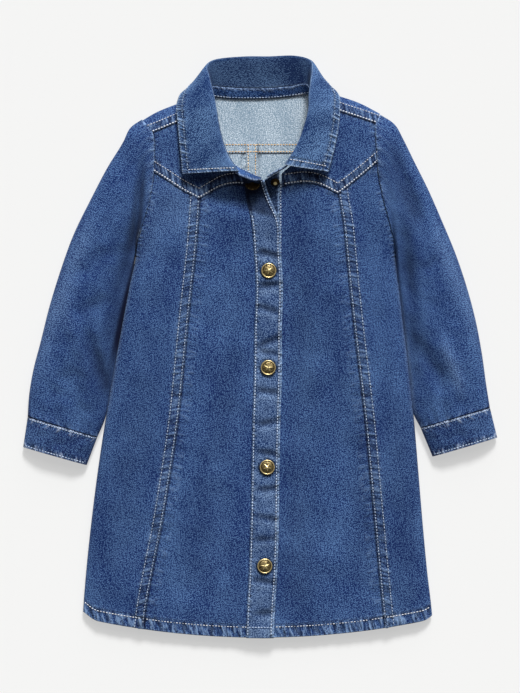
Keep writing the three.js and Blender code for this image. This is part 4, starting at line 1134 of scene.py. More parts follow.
def back_panel(side):
    """Half of the back below the yoke, with its share of the folded seam allowances inside."""
    left = side == "left"
    middle = lambda y: BACK_SEAM_X + (-0.2 if left else 0.2) + 0 * y
    top = lambda x: BACK_YOKE_Y - 0.2 + 0 * x
    rows = stops([0, 1, 3, 7, 10, 11.5], 80, [0, 1, 2.4, 4, 8, 12])
    edge = [0, 0.3, 0.9, 1.9, 3.2, 5, 8]
    seam = [0, 1, 2.2, 4, 8]
    if left:
        x, y = panel(side_edge("left"), middle, hem_line, top, stops(edge, 32, seam), rows)
    else:
        x, y = panel(middle, side_edge("right"), hem_line, top, stops(seam, 32, edge), rows)
    up_from_hem = y - hem_line(x)
    from_seam = np.abs(x - BACK_SEAM_X)
    marks = strongest(
        (fading(10, 14, up_from_hem), x, up_from_hem),
        (0.6 * fading(5, 10, from_seam), y, from_seam),
        (0.6 * fading(3, 9, BACK_YOKE_Y - y), x, BACK_YOKE_Y - y),
    )
    upright = [0 if left else x.shape[1] - 1]
    wall = wall_of(np.stack([x, y, back_z(x, y)], 2), CLOTH, upright=upright)
    walls = [{"wall": wall, "place": (x, y), "marks": marks}]
    for ends in FELLED_STRIPS[side]:
        walls.append(felled_strip(*ends))
    piece = cloth_object(f"back_{side}_cloth", walls, FACES)
    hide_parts(f"back_{side}")


back_panel("left")
back_panel("right")


def back_rows(z, y, from_middle_seam, from_yoke_seam, facing):
    """Rows of thread along the middle seam and the yoke's seam, on a level surface."""
    level = lambda x, y: z + 0 * x
    x = np.linspace(-104, 114, 120)
    rows = [on_surface(level, BACK_SEAM_X + aside, y, facing) for aside in from_middle_seam]
    return rows + [on_surface(level, x, BACK_YOKE_Y + up, facing) for up in from_yoke_seam]


outside_rows = back_rows(0.1, np.linspace(BACK_YOKE_Y - 3, -288, 240), (-4, 3.2), (4.5, 1.2), -1)
x = np.linspace(-172, 168, 160)
outside_rows.append(on_surface(lambda x, y: 0.1 + 0 * x, x, hem_line(x) + HEM["row"], -1))
stitches("back_stitches", cream_thread, outside_rows)
inside_rows = back_rows(FELLED_TOP, np.linspace(BACK_YOKE_Y + 5.5, -276, 240), (-2, 5.3), (4.9, -2.1), 1)
stitches("back_inside_stitches", gold_thread, inside_rows)

# Back yoke
# One piece across the back, folded over both shoulders and felled to the front yokes in front of them.

NECKLINE_BACK = table(
    "x    y", (-54, 250), (-45, 248), (-26, 246.3), (-7, 246), (18, 247.5), (44, 250.5), (54, 253)
)
neck_back = line(NECKLINE_BACK, "x", "y")
WRAP_ROWS = {"under": 9, "over": 29}  # lines of points up to the shoulder's fold, and on to the seam


def shoulder_wrap(side):
    """The part of the back yoke that turns over one shoulder and comes down to the seam in front of it."""
    height = face_z[side]
    neck_edge = lambda y: neck_front[side](y) + outwards[side] * NECK_GAP
    ends = (armhole["left"], neck_edge) if side == "left" else (neck_edge, armhole["right"])
    under = WRAP_ROWS["under"]
    turn = np.linspace(-0.4, 1, under)[:, None]
    over = (np.linspace(0, 1, WRAP_ROWS["over"] + 1)[1:] ** 1.5)[:, None]
    around = np.maximum(turn, 0) * math.pi / 2
    share = np.linspace(0, 1, 36)
    x = np.full((under + len(over), len(share)), outwards[side] * 80.0)
    y = shoulder_fold(x)
    for _ in range(30):
        x = ends[0](y) + (ends[1](y) - ends[0](y)) * share
        fold, seam = shoulder_fold(x), shoulder_seam(x) + 0.3
        under_y = fold[:under] - SIDE_SEAM_Z * (1 - np.sin(around)) + 4 * np.minimum(turn, 0)
        over_y = fold[under:] * (1 - over) + seam[under:] * over
        y = np.concatenate([under_y, over_y])
    from_seam = y - shoulder_seam(x)
    under_z = (SIDE_SEAM_Z + SEAM_GAP / 2) * (1 - np.cos(around)) * np.ones((under, len(share)))
    z = np.concatenate([under_z, height(x[under:], y[under:]) + welt_at(from_seam[under:])])
    in_front = from_seam > 0
    marks = strongest((0.8 * fading(8, 11, from_seam), x, from_seam), (0 * x, x, y))
    # Painted shade in the seam's grooves and in the hollows between its puckers.
    marks["shaded"] = 0.28 * seam_grooves(from_seam) + 0.32 * seam_hollow_shade(x, from_seam) * in_front
    marks["wear_and_painted_light"] = 0.5 * fading(0.3, 1.5, from_seam) + 0.4 * seam_ribs(x, from_seam) * in_front
    grid = np.stack([x, y, z], 2)
    return {"wall": wall_of(grid, CLOTH), "place": (x, y[-1] - unrolled(grid, -1, 0)), "marks": marks}


def yoke_back_edge(x):
    """The back yoke's upper edge, y from x: the neckline, and beside it the shoulders' folds."""
    outside = np.minimum(neck_back(np.sign(x) * 54), shoulder_fold(x) - SIDE_SEAM_Z)
    return np.where(np.abs(x) < 52, neck_back(x) + 2.4, outside)


even_columns = (np.linspace(0, 1, 90), np.zeros(90))
yoke_bottom = lambda x: BACK_YOKE_Y + 0.2 + 0 * x
yoke_rows = stops([0, 1.2, 2.4], 18, [0])
x, y = panel(armhole["left"], armhole["right"], yoke_bottom, yoke_back_edge, even_columns, yoke_rows)
up = y - BACK_YOKE_Y
marks = strongest((0.6 * fading(5, 9, up), x, up), (0 * x, x, y))
flat_yoke = {"wall": wall_of(np.stack([x, y, 0 * x], 2), CLOTH), "place": (x, y), "marks": marks}
back_yoke = cloth_object("back_yoke_cloth", [flat_yoke, shoulder_wrap("left"), shoulder_wrap("right")], FACES)
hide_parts("back_yoke")
rows = []
for start, end, side in ((-122, -56, "left"), (56, 122, "right")):
    height = face_z[side]
    ridge = lambda x, y: height(x, y) + welt_at(y - shoulder_seam(x))
    for from_edge, thicker in zip(SEAM_ROWS, (1.35, 0.9)):
        x = np.linspace(start, end, 80)
        y = shoulder_seam(x) + from_edge
        inside = (x > armhole["left"](y) + 1) & (x < armhole["right"](y) - 1)
        rows.append((*on_surface(ridge, x[inside], y[inside]), thicker))
shoulder_thread = stitches("shoulder_stitches", cream_thread, rows)

# Sleeves
# Each sleeve is one piece, eased into the armhole with small gathers at its head, and sewn into a tube.

CUFF_GATHER_Z = 15
SLEEVE_LAP = 0.8  # the sleeve's head is felled this far over the body's edge
SLEEVES = {
    "left": {
        "outer": table(
            "x y",
            (-118.2, 227), (-129, 219.5), (-136.5, 205), (-151, 182), (-169.5, 147), (-187, 111), (-200, 75),
            (-211, 39), (-220, 3), (-227, -24), (-231, -48), (-232.5, -70.5),
        ),
        "inner": table(
            "x y",
            (-124.9, 95.4), (-127.4, 78), (-133.2, 46), (-141.6, 0), (-149.6, -46), (-155.7, -74),
            (-163, -91),
        ),
        "area": 0.0445,
        # How much painted light lies along the inner edge beside the body, and how much painted shade beside
        # it
        "edge_painted_light": 0,
        "edge_shade": 0.48,
        "cuff_outer": (-237, -100.5),
        "cuff_inner": (-173.5, -118.5),
        "folds": table(
            FOLD_COLUMNS,
            (-121, 140, 84, 46, 5, -9),
            (-130, 88, 79, 34, 6, -5),
            (-140, 44, 80, 72, 11, -7),
            (-152, -34, 78, 30, 6, -2.5),
            (-164, -14, 108, 30, 7, -4.5),
            (-180, -6, 104, 50, 10, 2.4),
            (-168, 40, 30, 20, 7, -2.2),
            (-176, 76, 20, 22, 8, -1.6),
            (-150, 92, 12, 24, 8, -1.8),
            (-199, 40, 70, 80, 12, 1.6),
            (-196, -40, 70, 16, 9, -2),
            (-181, -60, 84, 26, 5, -1.6),
            (-205, -62, 92, 24, 6, -1.4),
        ),
        # Painted light and shade over the folds: a positive height lightens, a negative one darkens
        "painted_light_and_shade": table(
            FOLD_COLUMNS,
            (-121, 134, 84, 42, 5, -0.3),
            (-130, 86, 79, 34, 5, -0.35),
            (-138, 24, 80, 36, 10, -0.4),
            (-157, -24, 104, 28, 7, -0.4),
            (-172, -18, 108, 34, 13, -0.24),
            (-168, 38, 30, 16, 7, -0.15),
            (-196, 60, 68, 70, 9, 0.12),
        ),
    },
    "right": {
        "outer": table(
            "x y",
            (119.8, 231.5), (134, 222), (143, 207), (155, 183), (167, 159), (182, 125), (196, 91),
            (207, 58), (215, 28), (222, -9), (226, -38), (229.7, -61.2),
        ),
        "inner": table(
            "x y",
            (136.3, 95.4), (137.1, 78), (140.2, 46), (145.6, 0), (149.5, -38), (152.7, -66), (160.5, -81.6),
        ),
        "area": 0.0395,
        # How much painted light lies along the inner edge beside the body, and how much painted shade beside
        # it
        "edge_painted_light": 0.4,
        "edge_shade": 0,
        "cuff_outer": (237, -91),
        "cuff_inner": (172.3, -110),
        "folds": table(
            FOLD_COLUMNS,
            (145, 162, 112, 46, 9, -7),
            (146, 80, 94, 34, 7, -4.5),
            (150, 30, 96, 80, 10, -3),
            (156, 108, 60, 24, 8, 1.8),
            (169, -16, 122, 28, 8.5, -4.6),
            (151, -4, 95, 32, 5, -3),
            (192, -18, 113, 30, 7, 2.4),
            (171, 82, 60, 8, 5, -1.6),
            (198, 60, 112, 80, 12, 1.8),
            (182, -52, 98, 26, 5, -1.6),
            (206, -50, 88, 24, 6, -1.4),
        ),
        # Painted light and shade over the folds: a positive height lightens, a negative one darkens
        "painted_light_and_shade": table(
            FOLD_COLUMNS,
            (150, 140, 112, 28, 8, -0.22),
            (138, 150, 116, 44, 13, -0.15),
            (147, 84, 92, 30, 6, -0.2),
            (157, 80, 20, 15, 9, -0.12),
            (168, -16, 122, 27, 8, -0.1),
            (152, -8, 95, 28, 6, -0.16),
            (192, -25, 113, 26, 6, 0.12),
            (200, 60, 112, 60, 8, 0.1),
        ),
    },
}
SLEEVE_LOFT = table("t z", (0, 19), (0.15, 21), (0.5, 18.5), (0.85, 17.5), (1, CUFF_GATHER_Z))
sleeve_loft = line(SLEEVE_LOFT, "t", "z")


def plan_curve(points):
    """A smooth curve in plan through points, with t from 0 to 1 by the distance along it."""
    run = np.concatenate([[0], np.cumsum(np.hypot(np.diff(points["x"]), np.diff(points["y"])))])
    rows = {"s": run / run[-1], "x": points["x"], "y": points["y"]}
    x = line(rows, "s", "x")
    y = line(rows, "s", "y")
    return lambda t: np.stack([x(t), y(t)], -1)


def ring_z(w, top, width, upper):
    """Height round a tube of cloth: a flattened arch above, and flat where it rests below."""
    arch = SIDE_SEAM_Z + (top - SIDE_SEAM_Z) * (1 - np.abs(2 * w - 1) ** 2.4) ** (1 / 2.2)
    rest = SIDE_SEAM_Z * (1 - rounded(np.minimum(w, 1 - w) * width, SIDE_ROUNDING["back"]))
    return np.where(upper, arch, rest)


def crown_at(w):
    """1 over the top of a tube of cloth, and down to 0 at its two sides."""
    return 1 - np.abs(2 * w - 1) ** 4


def ring_shares(above, below):
    """Shares across a tube, out over its top and back under it, closer together at its two sides."""
    up = (1 - np.cos(np.pi * np.linspace(0, 1, above))) / 2
    down = (1 - np.cos(np.pi * np.linspace(1, 0, below)[1:-1])) / 2
    return np.concatenate([up, down]), np.concatenate([np.ones(above, bool), np.zeros(below - 2, bool)])


RING = ring_shares(57, 30)  # shares across, and whether each is on the upper side
RING_TOP = 28  # the point midway over the top
SLEEVE_LENGTH = 300
# Shares of the way down a sleeve where it has a ring of points, closer together at both ends
SLEEVE_RUN = np.concatenate(
    [np.linspace(0, 0.06, 9)[:-1], np.linspace(0.06, 0.95, 110), np.linspace(0.95, 1, 8)[1:]]
)
HEAD_GATHERS = {"girth": 135, "pitch": 10.5, "drift": (2.2, 9), "reach": 17}
CUFF_GATHERS = {"girth": 72, "pitch": 11, "drift": (3, 7), "reach": 14}


def sleeve_plan(side):
    """x and y over a sleeve, from the armhole to the cuff, and the width of each ring round it."""
    cut = SLEEVES[side]
    outer, inner = plan_curve(cut["outer"]), plan_curve(cut["inner"])
    tip_x, tip_y = cut["outer"]["x"][0], cut["outer"]["y"][0]
    below_tip = ARMHOLE["y"] < tip_y - 4
    seam_x = np.concatenate([[tip_x], ARMHOLE[side][below_tip] - outwards[side] * SLEEVE_LAP])
    seam_y = np.concatenate([[tip_y], ARMHOLE["y"][below_tip]])
    seam = plan_curve({"x": seam_x, "y": seam_y})
    w = RING[0]
    start, end = outer(SLEEVE_RUN)[:, None], inner(SLEEVE_RUN)[:, None]
    straight = outer(0.0) + (inner(0.0) - outer(0.0)) * w[:, None]
    bend = ((1 - SLEEVE_RUN) ** 2)[:, None, None] * (seam(w) - straight)
    plan = start + (end - start) * w[:, None] + bend
    return plan[..., 0], plan[..., 1], np.linalg.norm(start - end, axis=2)


def gathered(w, distance, gathers):
    """Small gathers, from -1 to 1, one every `pitch` or so round the tube, which die away over `reach`."""
    swing, turns = gathers["drift"]
    wave = np.sin(2 * np.pi * w * gathers["girth"] / gathers["pitch"] + swing * np.sin(w * turns))
    return wave * np.exp(-distance / gathers["reach"])[:, None]


def sleeve_marks(cut, x, y, from_armhole, gathers, crown, folds):
    """Marks of the gathers at both ends, and painted light and shade: lighter on the folds' ridges, darker in
    their troughs, beside the body and next to the cuff.
    """
    w, upper = RING
    from_cuff = SLEEVE_LENGTH - from_armhole
    marks = strongest(
        (0.6 * fading(1, 10, from_armhole), w * 130 + 0 * x, from_armhole),
        (0.55 * fading(1, 9, from_cuff), w * 72 + 0 * x, from_cuff),
    )
    painted_light_and_shade = folds_at(cut["painted_light_and_shade"], x, y) * upper
    near_body = smooth(0.93, 0.985, w) * upper * (y < UNDERARM_Y)
    beside_body = smooth(0.87, 0.95, w) * upper * smooth(-60, 5, y) * fading(100, 118, y)
    marks["wear_and_painted_light"] = 0.9 * fading(0.7, 1.8, from_armhole) + 0.3 * np.clip(gathers, 0, 1) * crown
    # Painted light on the folds' ridges and patches, and along the inner edge beside the body.
    marks["wear_and_painted_light"] = marks["wear_and_painted_light"] + np.clip(painted_light_and_shade + 0.04 * np.clip(folds, 0, 3), 0, 1)
    marks["wear_and_painted_light"] = marks["wear_and_painted_light"] + cut["edge_painted_light"] * near_body
    # Painted shade next to the cuff, in the folds' troughs and patches, and beside the body.
    marks["shaded"] = 0.9 * fading(0.2, 1.6, from_cuff) + np.clip(0.03 * np.clip(-folds, 0, 6) - painted_light_and_shade, 0, 1)
    marks["shaded"] = marks["shaded"] + cut["edge_shade"] * beside_body
    return marks


def mirrored(grid, place, marks):
    """The same tube with its columns the other way round, so that it still faces outwards on the right."""
    flipped = {key: value[:, ::-1] for key, value in marks.items()}
    return grid[:, ::-1], tuple(p[:, ::-1] for p in place), flipped


def sleeve(side):
    """One sleeve: a tube from its gathered head on the armhole down to the gathers at the cuff."""
    cut = SLEEVES[side]
    w, upper = RING
    x, y, width = sleeve_plan(side)
    crown = crown_at(w)
    down = SLEEVE_RUN * SLEEVE_LENGTH
    head_gathers = gathered(w, down, HEAD_GATHERS) * (w < 0.62)
    cuff_gathers = gathered(w, SLEEVE_LENGTH - down, CUFF_GATHERS)
    folds = folds_at(cut["folds"], x, y)
    slack = 0.5 * unevenness(x, y, 40, 7) + 0.35 * unevenness(x, y, 17, 8)
    soft = (folds + slack) * crown + (0.7 * head_gathers + 0.7 * cuff_gathers) * crown
    z = ring_z(w, sleeve_loft(SLEEVE_RUN)[:, None], width, upper)
    settle = smooth(0, 0.16, SLEEVE_RUN)[:, None]
    over_edge = 1.3 + 0.7 * smooth(0.0, 0.01, SLEEVE_RUN)[:, None]
    joined = np.maximum(SIDE_SEAM_Z, front_z(x, y)) + over_edge * crown
    top = joined + (z + soft - joined) * settle + 0.5 * head_gathers * crown * (1 - settle)
    grid = np.stack([x, y, np.where(upper, top, z)], 2)
    from_armhole = down[:, None] + 0 * w
    place = (unrolled(grid, RING_TOP, 1), -from_armhole)
    marks = sleeve_marks(cut, x, y, from_armhole, head_gathers, crown, folds)
    if side == "right":
        grid, place, marks = mirrored(grid, place, marks)
    wall = {"wall": wall_of(grid, CLOTH, tube=True), "place": place, "marks": marks}
    piece = cloth_object(f"sleeve_{side}_cloth", [wall], FACES)
    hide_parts(f"sleeve_{side}")


sleeve("left")
sleeve("right")

# Cuffs
# A doubled band on each sleeve, sewn on over its gathers and sewn again along its edge.

cuff_denim = denim("cuff_denim", srgb(0, 26, 80), srgb(86, 119, 166), srgb(188, 204, 230), mottle=1.3)
CUFF_DEPTH = 30
# Shares of the way down a cuff where it has a ring of points, closer together at its rows of thread
CUFF_RUN = np.concatenate(
    [[0.01, 0.03, 0.06, 0.09, 0.12], np.linspace(0.16, 0.86, 14), [0.9, 0.93, 0.96, 0.98, 1]]
)


def cuff_point(side, t, w, upper):
    """Points round a cuff: t is 0 at the sleeve and 1 at the free edge, and w goes from outside in."""
    cut = SLEEVES[side]
    sides = []
    for name in ("outer", "inner"):
        start = np.array([cut[name]["x"][-1], cut[name]["y"][-1]])
        sides.append(start + (np.array(cut[f"cuff_{name}"]) - start) * t[..., None])
    outer, inner = sides
    plan = outer + (inner - outer) * w[..., None]
    z = ring_z(w, CUFF_GATHER_Z + 0.6 - 2 * t, np.linalg.norm(outer - inner, axis=-1), upper)
    crown = crown_at(w)
    creases = 0.45 * unevenness(plan[..., 0], plan[..., 1], 15, 11) + 0.5 * unevenness(w * 70, t * 12, 21, 12)
    grooves = -0.35 * peak(t, 0.07, 0.03) - 0.35 * peak(t, 0.93, 0.03)
    z = z + np.where(upper, (creases + grooves) * crown, 0)
    return np.stack([plan[..., 0], plan[..., 1], z], -1)


def cuff_thread(side):
    """A row of thread along the sleeve's seam, and one along the free edge, over the top only."""
    share = np.linspace(0.03, 0.97, 90)
    on_top = np.ones(len(share), bool)
    rows = []
    for t in (0.05, 0.935):
        points = cuff_point(side, t + 0 * share, share, on_top)
        beside = cuff_point(side, t + 0.02 + 0 * share, share, on_top) - points
        normal = np.cross(beside, np.gradient(points, axis=0))
        normal *= np.sign(normal[:, 2:])
        rows.append((points, unit(normal)))
    return stitches(f"cuff_stitches_{side}", white_thread, rows, width=0.8)


def cuff(side):
    """One cuff: a tube of doubled cloth whose edges have faded, with painted shade along the row of thread at
    its free edge.
    """
    shares, upper = RING
    t, w = np.meshgrid(CUFF_RUN, shares, indexing="ij")
    grid = cuff_point(side, t, w, upper)
    down = t * CUFF_DEPTH
    up = CUFF_DEPTH - down
    place = (unrolled(grid, RING_TOP, 1), down)
    marks = strongest((0.8 * fading(3, 7, down), w * 68, down), (0.8 * fading(3, 7, up), w * 68 + 30, up))
    marks["wear_and_painted_light"] = 0.9 * fading(0.2, 1.5, down) + 0.5 * fading(0.1, 1.2, up)
    # Painted shade in the groove of the row of thread at the free edge.
    marks["shaded"] = 0.3 * peak(down, 28, 0.7)
    if side == "right":
        grid, place, marks = mirrored(grid, place, marks)
    wall = {"wall": wall_of(grid, DOUBLE_CLOTH, tube=True), "place": place, "marks": marks}
    piece = cloth_object(f"cuff_{side}_cloth", [wall], (cuff_denim, cuff_denim))
    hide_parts(f"cuff_{side}")
    cuff_thread(side)


cuff("left")
cuff("right")

# Collar band
# A narrow doubled band round the neckline, which carries the collar. Its ends lean over the plackets.

BAND_CLOTH = 1.4
BAND = table(
    "neck_x neck_y neck_z top_x top_y top_z",
    (1, 167.6, 31.5, 1, 165.6, 37.5),
    (-6, 170.6, 31.8, -6, 165.2, 38),
    (-14.5, 175, 30.6, -14.5, 168, 37),
    (-24, 180, 26.6, -23, 173, 34.5),
    (-33.5, 189.6, 22.8, -32.8, 189.6, 31),
    (-41, 203, 20.2, -40, 203.4, 28.5),
    (-47, 220, 18.8, -45.5, 220.2, 27),
    (-51.4, 238, 16, -50, 238, 24),
    (-52.4, 247, 11, -52, 252, 18.5),
    (-50, 250, 5.5, -50.4, 257.6, 12.5),
    (-43, 249.6, 3.4, -46, 259.2, 9),
    (-30, 248.2, 3.2, -35, 258, 7.7),
    (-10, 247.8, 3.2, -13, 256.9, 7.2),
    (12, 248.6, 3.2, 8, 257.1, 7.2),
    (30, 250.4, 3.2, 30, 259, 7.8),
    (43, 252.4, 3.8, 42.6, 261.4, 9.6),
    (50.4, 252.8, 6.5, 47.6, 259.4, 13),
    (52.6, 248, 12.4, 50.6, 251, 19.5),
    (52.2, 239, 17, 51.6, 240, 24.5),
    (49.6, 226, 19.2, 50.4, 226.2, 27),
    (45, 211, 20.5, 46.2, 210.4, 28.5),
    (38, 195.5, 22.8, 39.8, 195.6, 30.8),
    (27.5, 181, 26.2, 28, 181.2, 34),
    (16, 173.6, 28.4, 16, 174.4, 34.8),
    (6.5, 168.6, 28.6, 6.5, 168.8, 34.4),
)
collar_denim = denim("collar_denim", srgb(0, 36, 88), srgb(102, 137, 183), srgb(164, 190, 222), mottle=2.7)
collar_inside = denim(
    "collar_inside_denim", srgb(2, 44, 100), srgb(93, 132, 191), srgb(148, 172, 208), mottle=2.0
)


def stations(rows, column):
    """A smooth run of points through one column of a table, with t from its first row, 0, to its last, 1."""
    count = len(rows[column + "_x"])
    axes = [line({"i": np.arange(count), "v": rows[f"{column}_{axis}"]}, "i", "v") for axis in "xyz"]
    return lambda t: np.stack([axis(t * (count - 1)) for axis in axes], -1)


band_neck = stations(BAND, "neck")
band_top = stations(BAND, "top")


def band_point(t, share):
    """A point on the band's inner face, from the neckline, 0, to its upper edge, 1."""
    return band_neck(t) + (band_top(t) - band_neck(t)) * share[..., None]


t = np.linspace(1, 0, 150)
share = np.linspace(0.02, 1.08, 9)
T, SHARE = np.meshgrid(t, share)
run, up = 400 * T, 9 * SHARE
near_band_ends = fading(0.0, 0.14, np.minimum(T, 1 - T))
marks = strongest((0.5 * fading(1, 4, up), run, up), (0.5 * smooth(5, 8, up) + 0.5 * near_band_ends, run, up))
marks["wear_and_painted_light"] = 0.8 * near_band_ends * smooth(6.5, 8.5, up) + 0.7 * smooth(7.6, 8.8, up)
# Painted shade along the band's lower edge and at its ends.
marks["shaded"] = 0.45 * fading(1, 2.2, up) + 0.25 * near_band_ends
wall = {"wall": wall_of(band_point(T, SHARE), BAND_CLOTH), "place": (run, up), "marks": marks}
band = cloth_object("collar_band_cloth", [wall], (collar_inside, collar_inside))
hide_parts("collar_band")
t = np.linspace(0.98, 0.02, 400)
points = band_point(t, 0.1 + 0 * t)
facing = np.cross(band_point(t, 0.6 + 0 * t) - points, np.gradient(points, axis=0))
band_thread = stitches("collar_band_stitches", white_thread, [(points, unit(facing))], width=0.7)

# Collar
# A spread collar of two layers and an interfacing, folded over its roll line. Its edges have faded with wear.
# Its back lies folded on the surface, and its points float over the chest.

COLLAR_CLOTH = 2.2
COLLAR_LENGTH = 420
COLLAR_FROM_ROW = 3  # the row of the band's table where the collar starts
ROLL_TURN = 11
LEAF_PUFF = 1.6
COLLAR_ROW = 5.6  # its row of thread, in from its edge
COLLAR = table(
    "roll_x roll_y roll_z edge_x edge_y edge_z",
    (-21.4, 173.6, 38.4, -77.3, 171.5, 27.5),
    (-30.4, 185.8, 37.6, -78.6, 186, 26.4),
    (-36.4, 200.6, 36, -80.4, 203, 24.8),
    (-40.4, 217, 34.5, -82.2, 222, 22.6),
    (-43.6, 237, 32.5, -83.6, 237, 20),
    (-47, 254, 28.5, -82.4, 245.5, 16),
    (-50.6, 268, 23, -79, 253, 11),
    (-53, 279.5, 17, -70, 258.5, 5),
    (-44, 286.5, 13, -50, 257, 1),
    (-16, 289.5, 10.5, -18, 254.5, 0.1),
    (9, 289.6, 10.5, 9, 254.5, 0.1),
    (34, 290.2, 11.5, 38, 257.5, 0.6),
    (50, 285.5, 14.5, 61, 263.5, 3),
    (52, 276, 18, 72, 259, 7.5),
    (50.4, 264, 25, 79, 250, 13.4),
    (48.6, 250, 30, 79.6, 239, 19),
    (48, 236, 33, 79, 226, 21.8),
    (44, 220, 35, 76.8, 211, 23.4),
    (36.8, 200.4, 36.4, 73, 193, 25.4),
    (24.6, 180, 37.6, 67.6, 173.5, 27.5),
)
collar_roll = stations(COLLAR, "roll")
collar_edge = stations(COLLAR, "edge")
COLLAR_ROWS = len(COLLAR["roll_x"]) - 1


def collar_section(t, s):
    """Points of the collar at t along it: s is -1 at its seam, 0 at the roll line and 1 at its free edge."""
    seam = band_top((COLLAR_FROM_ROW + t * COLLAR_ROWS) / (len(BAND["neck_x"]) - 1))
    roll, edge = collar_roll(t), collar_edge(t)
    rise, fall = roll - seam, edge - roll
    turn = unit(unit(fall) + unit(rise)) * ROLL_TURN
    s = s[..., None]
    stand = hermite(seam, roll, rise, turn, np.clip(s + 1, 0, 1))
    leaf = hermite(roll, edge, turn, fall, np.clip(s, 0, 1))
    points = np.where(s < 0, stand, leaf)
    floating = smooth(8, 20, roll[..., 2])
    puff = LEAF_PUFF * np.sin(np.pi * np.clip(s[..., 0], 0, 1)) * floating
    slack = 0.35 * unevenness(points[..., 0], points[..., 1], 33, 14) * floating * np.clip(s[..., 0], 0, 1)
    points[..., 2] += puff + slack
    return points


t = np.concatenate([[1, 0.999, 0.996, 0.992], np.linspace(0.988, 0.012, 190), [0.008, 0.004, 0.001, 0]])
s = np.concatenate([np.linspace(-1, -0.04, 12), np.linspace(0, 0.86, 26), [0.89, 0.92, 0.95, 0.975, 1]])
T, S = np.meshgrid(t, s)
leaf_depth = lambda t: np.linalg.norm(collar_edge(t) - collar_roll(t), axis=-1)
from_edge = leaf_depth(T) * (1 - S)
from_front = np.minimum(1 - T, T) * COLLAR_LENGTH
run = T * COLLAR_LENGTH
border = np.minimum(from_edge, from_front)
on_leaf = S > 0
marks = strongest(
    (0.75 * fading(6, 9, from_edge) * on_leaf, run, from_edge),
    (0.75 * fading(6, 9, from_front) * on_leaf, from_edge, from_front),
)
marks["wear_and_painted_light"] = 0.85 * fading(0.4, 1.8, border) * on_leaf + 0.6 * peak(S, 0, 0.03) + 0.7 * peak(S, -1, 0.05)
# Painted shade along the collar's row of thread and over the inside of its stand.
marks["shaded"] = 0.55 * peak(border, COLLAR_ROW, 0.8) * on_leaf + 0.42 * fading(-0.12, 0.04, S)
slanted = (0.5 * run - 0.87 * from_edge, 0.87 * run + 0.5 * from_edge)
wall = {"wall": wall_of(collar_section(T, S), COLLAR_CLOTH), "place": slanted, "marks": marks}
collar = cloth_object("collar_cloth", [wall], (collar_denim, collar_inside))
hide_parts("collar")


def collar_row(t, s):
    """A row of thread on the collar's outside, through places t, s."""
    points = collar_section(t, s)
    along = collar_section(np.clip(t - 0.002, 0, 1), s) - collar_section(np.clip(t + 0.002, 0, 1), s)
    facing = np.cross(collar_section(t, s + 0.02) - points, along)
    return points, unit(facing)


faded_thread = thread_material("faded_blue_thread", srgb(168, 188, 216), srgb(112, 136, 172))
t = np.linspace(0.986, 0.014, 700)
edge_row = collar_row(t, 1 - COLLAR_ROW / leaf_depth(t))
edge_thread = stitches("collar_edge_stitches", faded_thread, [edge_row], width=0.9)
s = np.linspace(0.1, 0.9, 60)
in_from_front = COLLAR_ROW / COLLAR_LENGTH
front_rows = [collar_row(1 - in_from_front + 0 * s, s), collar_row(in_from_front + 0 * s, s)]
front_edge_thread = stitches("collar_front_stitches", cream_thread, front_rows, width=0.75)

# Snaps
# Pressed brass caps, antiqued so that their hollows are dark, each with a rolled rim and a plain star.
# The cap at the neck is off its stud, which stands on the under placket.


def brass():
    """Antiqued brass: dark where it is hollow, bright on its rubbed rims, finely scratched."""
    material, tree, shader = new_material("antique_brass_finish")
    hollow = node(tree, "ShaderNodeAttribute", {"attribute_name": "hollow"}).outputs["Fac"]
    spot = node(tree, "ShaderNodeTexCoord")
    stain = node(tree, "ShaderNodeTexNoise", Vector=spot.outputs["Object"], Scale=620.0, Detail=4.0)
    stained = calc(tree, "MULTIPLY", calc(tree, "SUBTRACT", stain.outputs[0], 0.5), 1.4)
    patina = node(tree, "ShaderNodeClamp", Value=calc(tree, "ADD", hollow, stained))
    colour = blend(tree, patina.outputs[0], srgb(240, 216, 154), srgb(48, 34, 13))
    feed(tree, shader.inputs["Base Color"], colour)
    feed(tree, shader.inputs["Roughness"], calc(tree, "MULTIPLY_ADD", patina.outputs[0], 0.3, 0.3))
    scratch = node(tree, "ShaderNodeTexNoise", Vector=spot.outputs["Object"], Scale=2600.0, Detail=3.0)
    bump = node(tree, "ShaderNodeBump", Height=scratch.outputs[0], Strength=0.25, Distance=0.0002)
    feed(tree, shader.inputs["Normal"], bump.outputs[0])
    shader.inputs["Metallic"].default_value = 0.85
    return material


antique_brass = brass()


def turned(profile, segments):
    """Vertices and faces turned from a profile of (radius, height) that starts and ends on the axis."""
    angles = np.arange(segments) * 2 * np.pi / segments
    points = [(0, 0, profile[0][1])]
    for radius, height in profile[1:-1]:
        points += [(radius * math.cos(a), radius * math.sin(a), height) for a in angles]
    points.append((0, 0, profile[-1][1]))
    ring = lambda k, i: 1 + k * segments + i % segments
    faces = [(0, ring(0, i + 1), ring(0, i)) for i in range(segments)]
    for k in range(len(profile) - 3):
        faces += [(ring(k, i), ring(k, i + 1), ring(k + 1, i + 1), ring(k + 1, i)) for i in range(segments)]
    last = len(points) - 1
    faces += [(ring(len(profile) - 3, i), ring(len(profile) - 3, i + 1), last) for i in range(segments)]
    return points, faces


CAP_DOME = 3.2
STAR_RADII = (4.5, 1.8)  # of its points, and of the corners between them


def dome_z(radius):
    """Height of the cap's dome at that distance from its middle."""
    return CAP_DOME - 1.5 * (radius / 5.8) ** 2


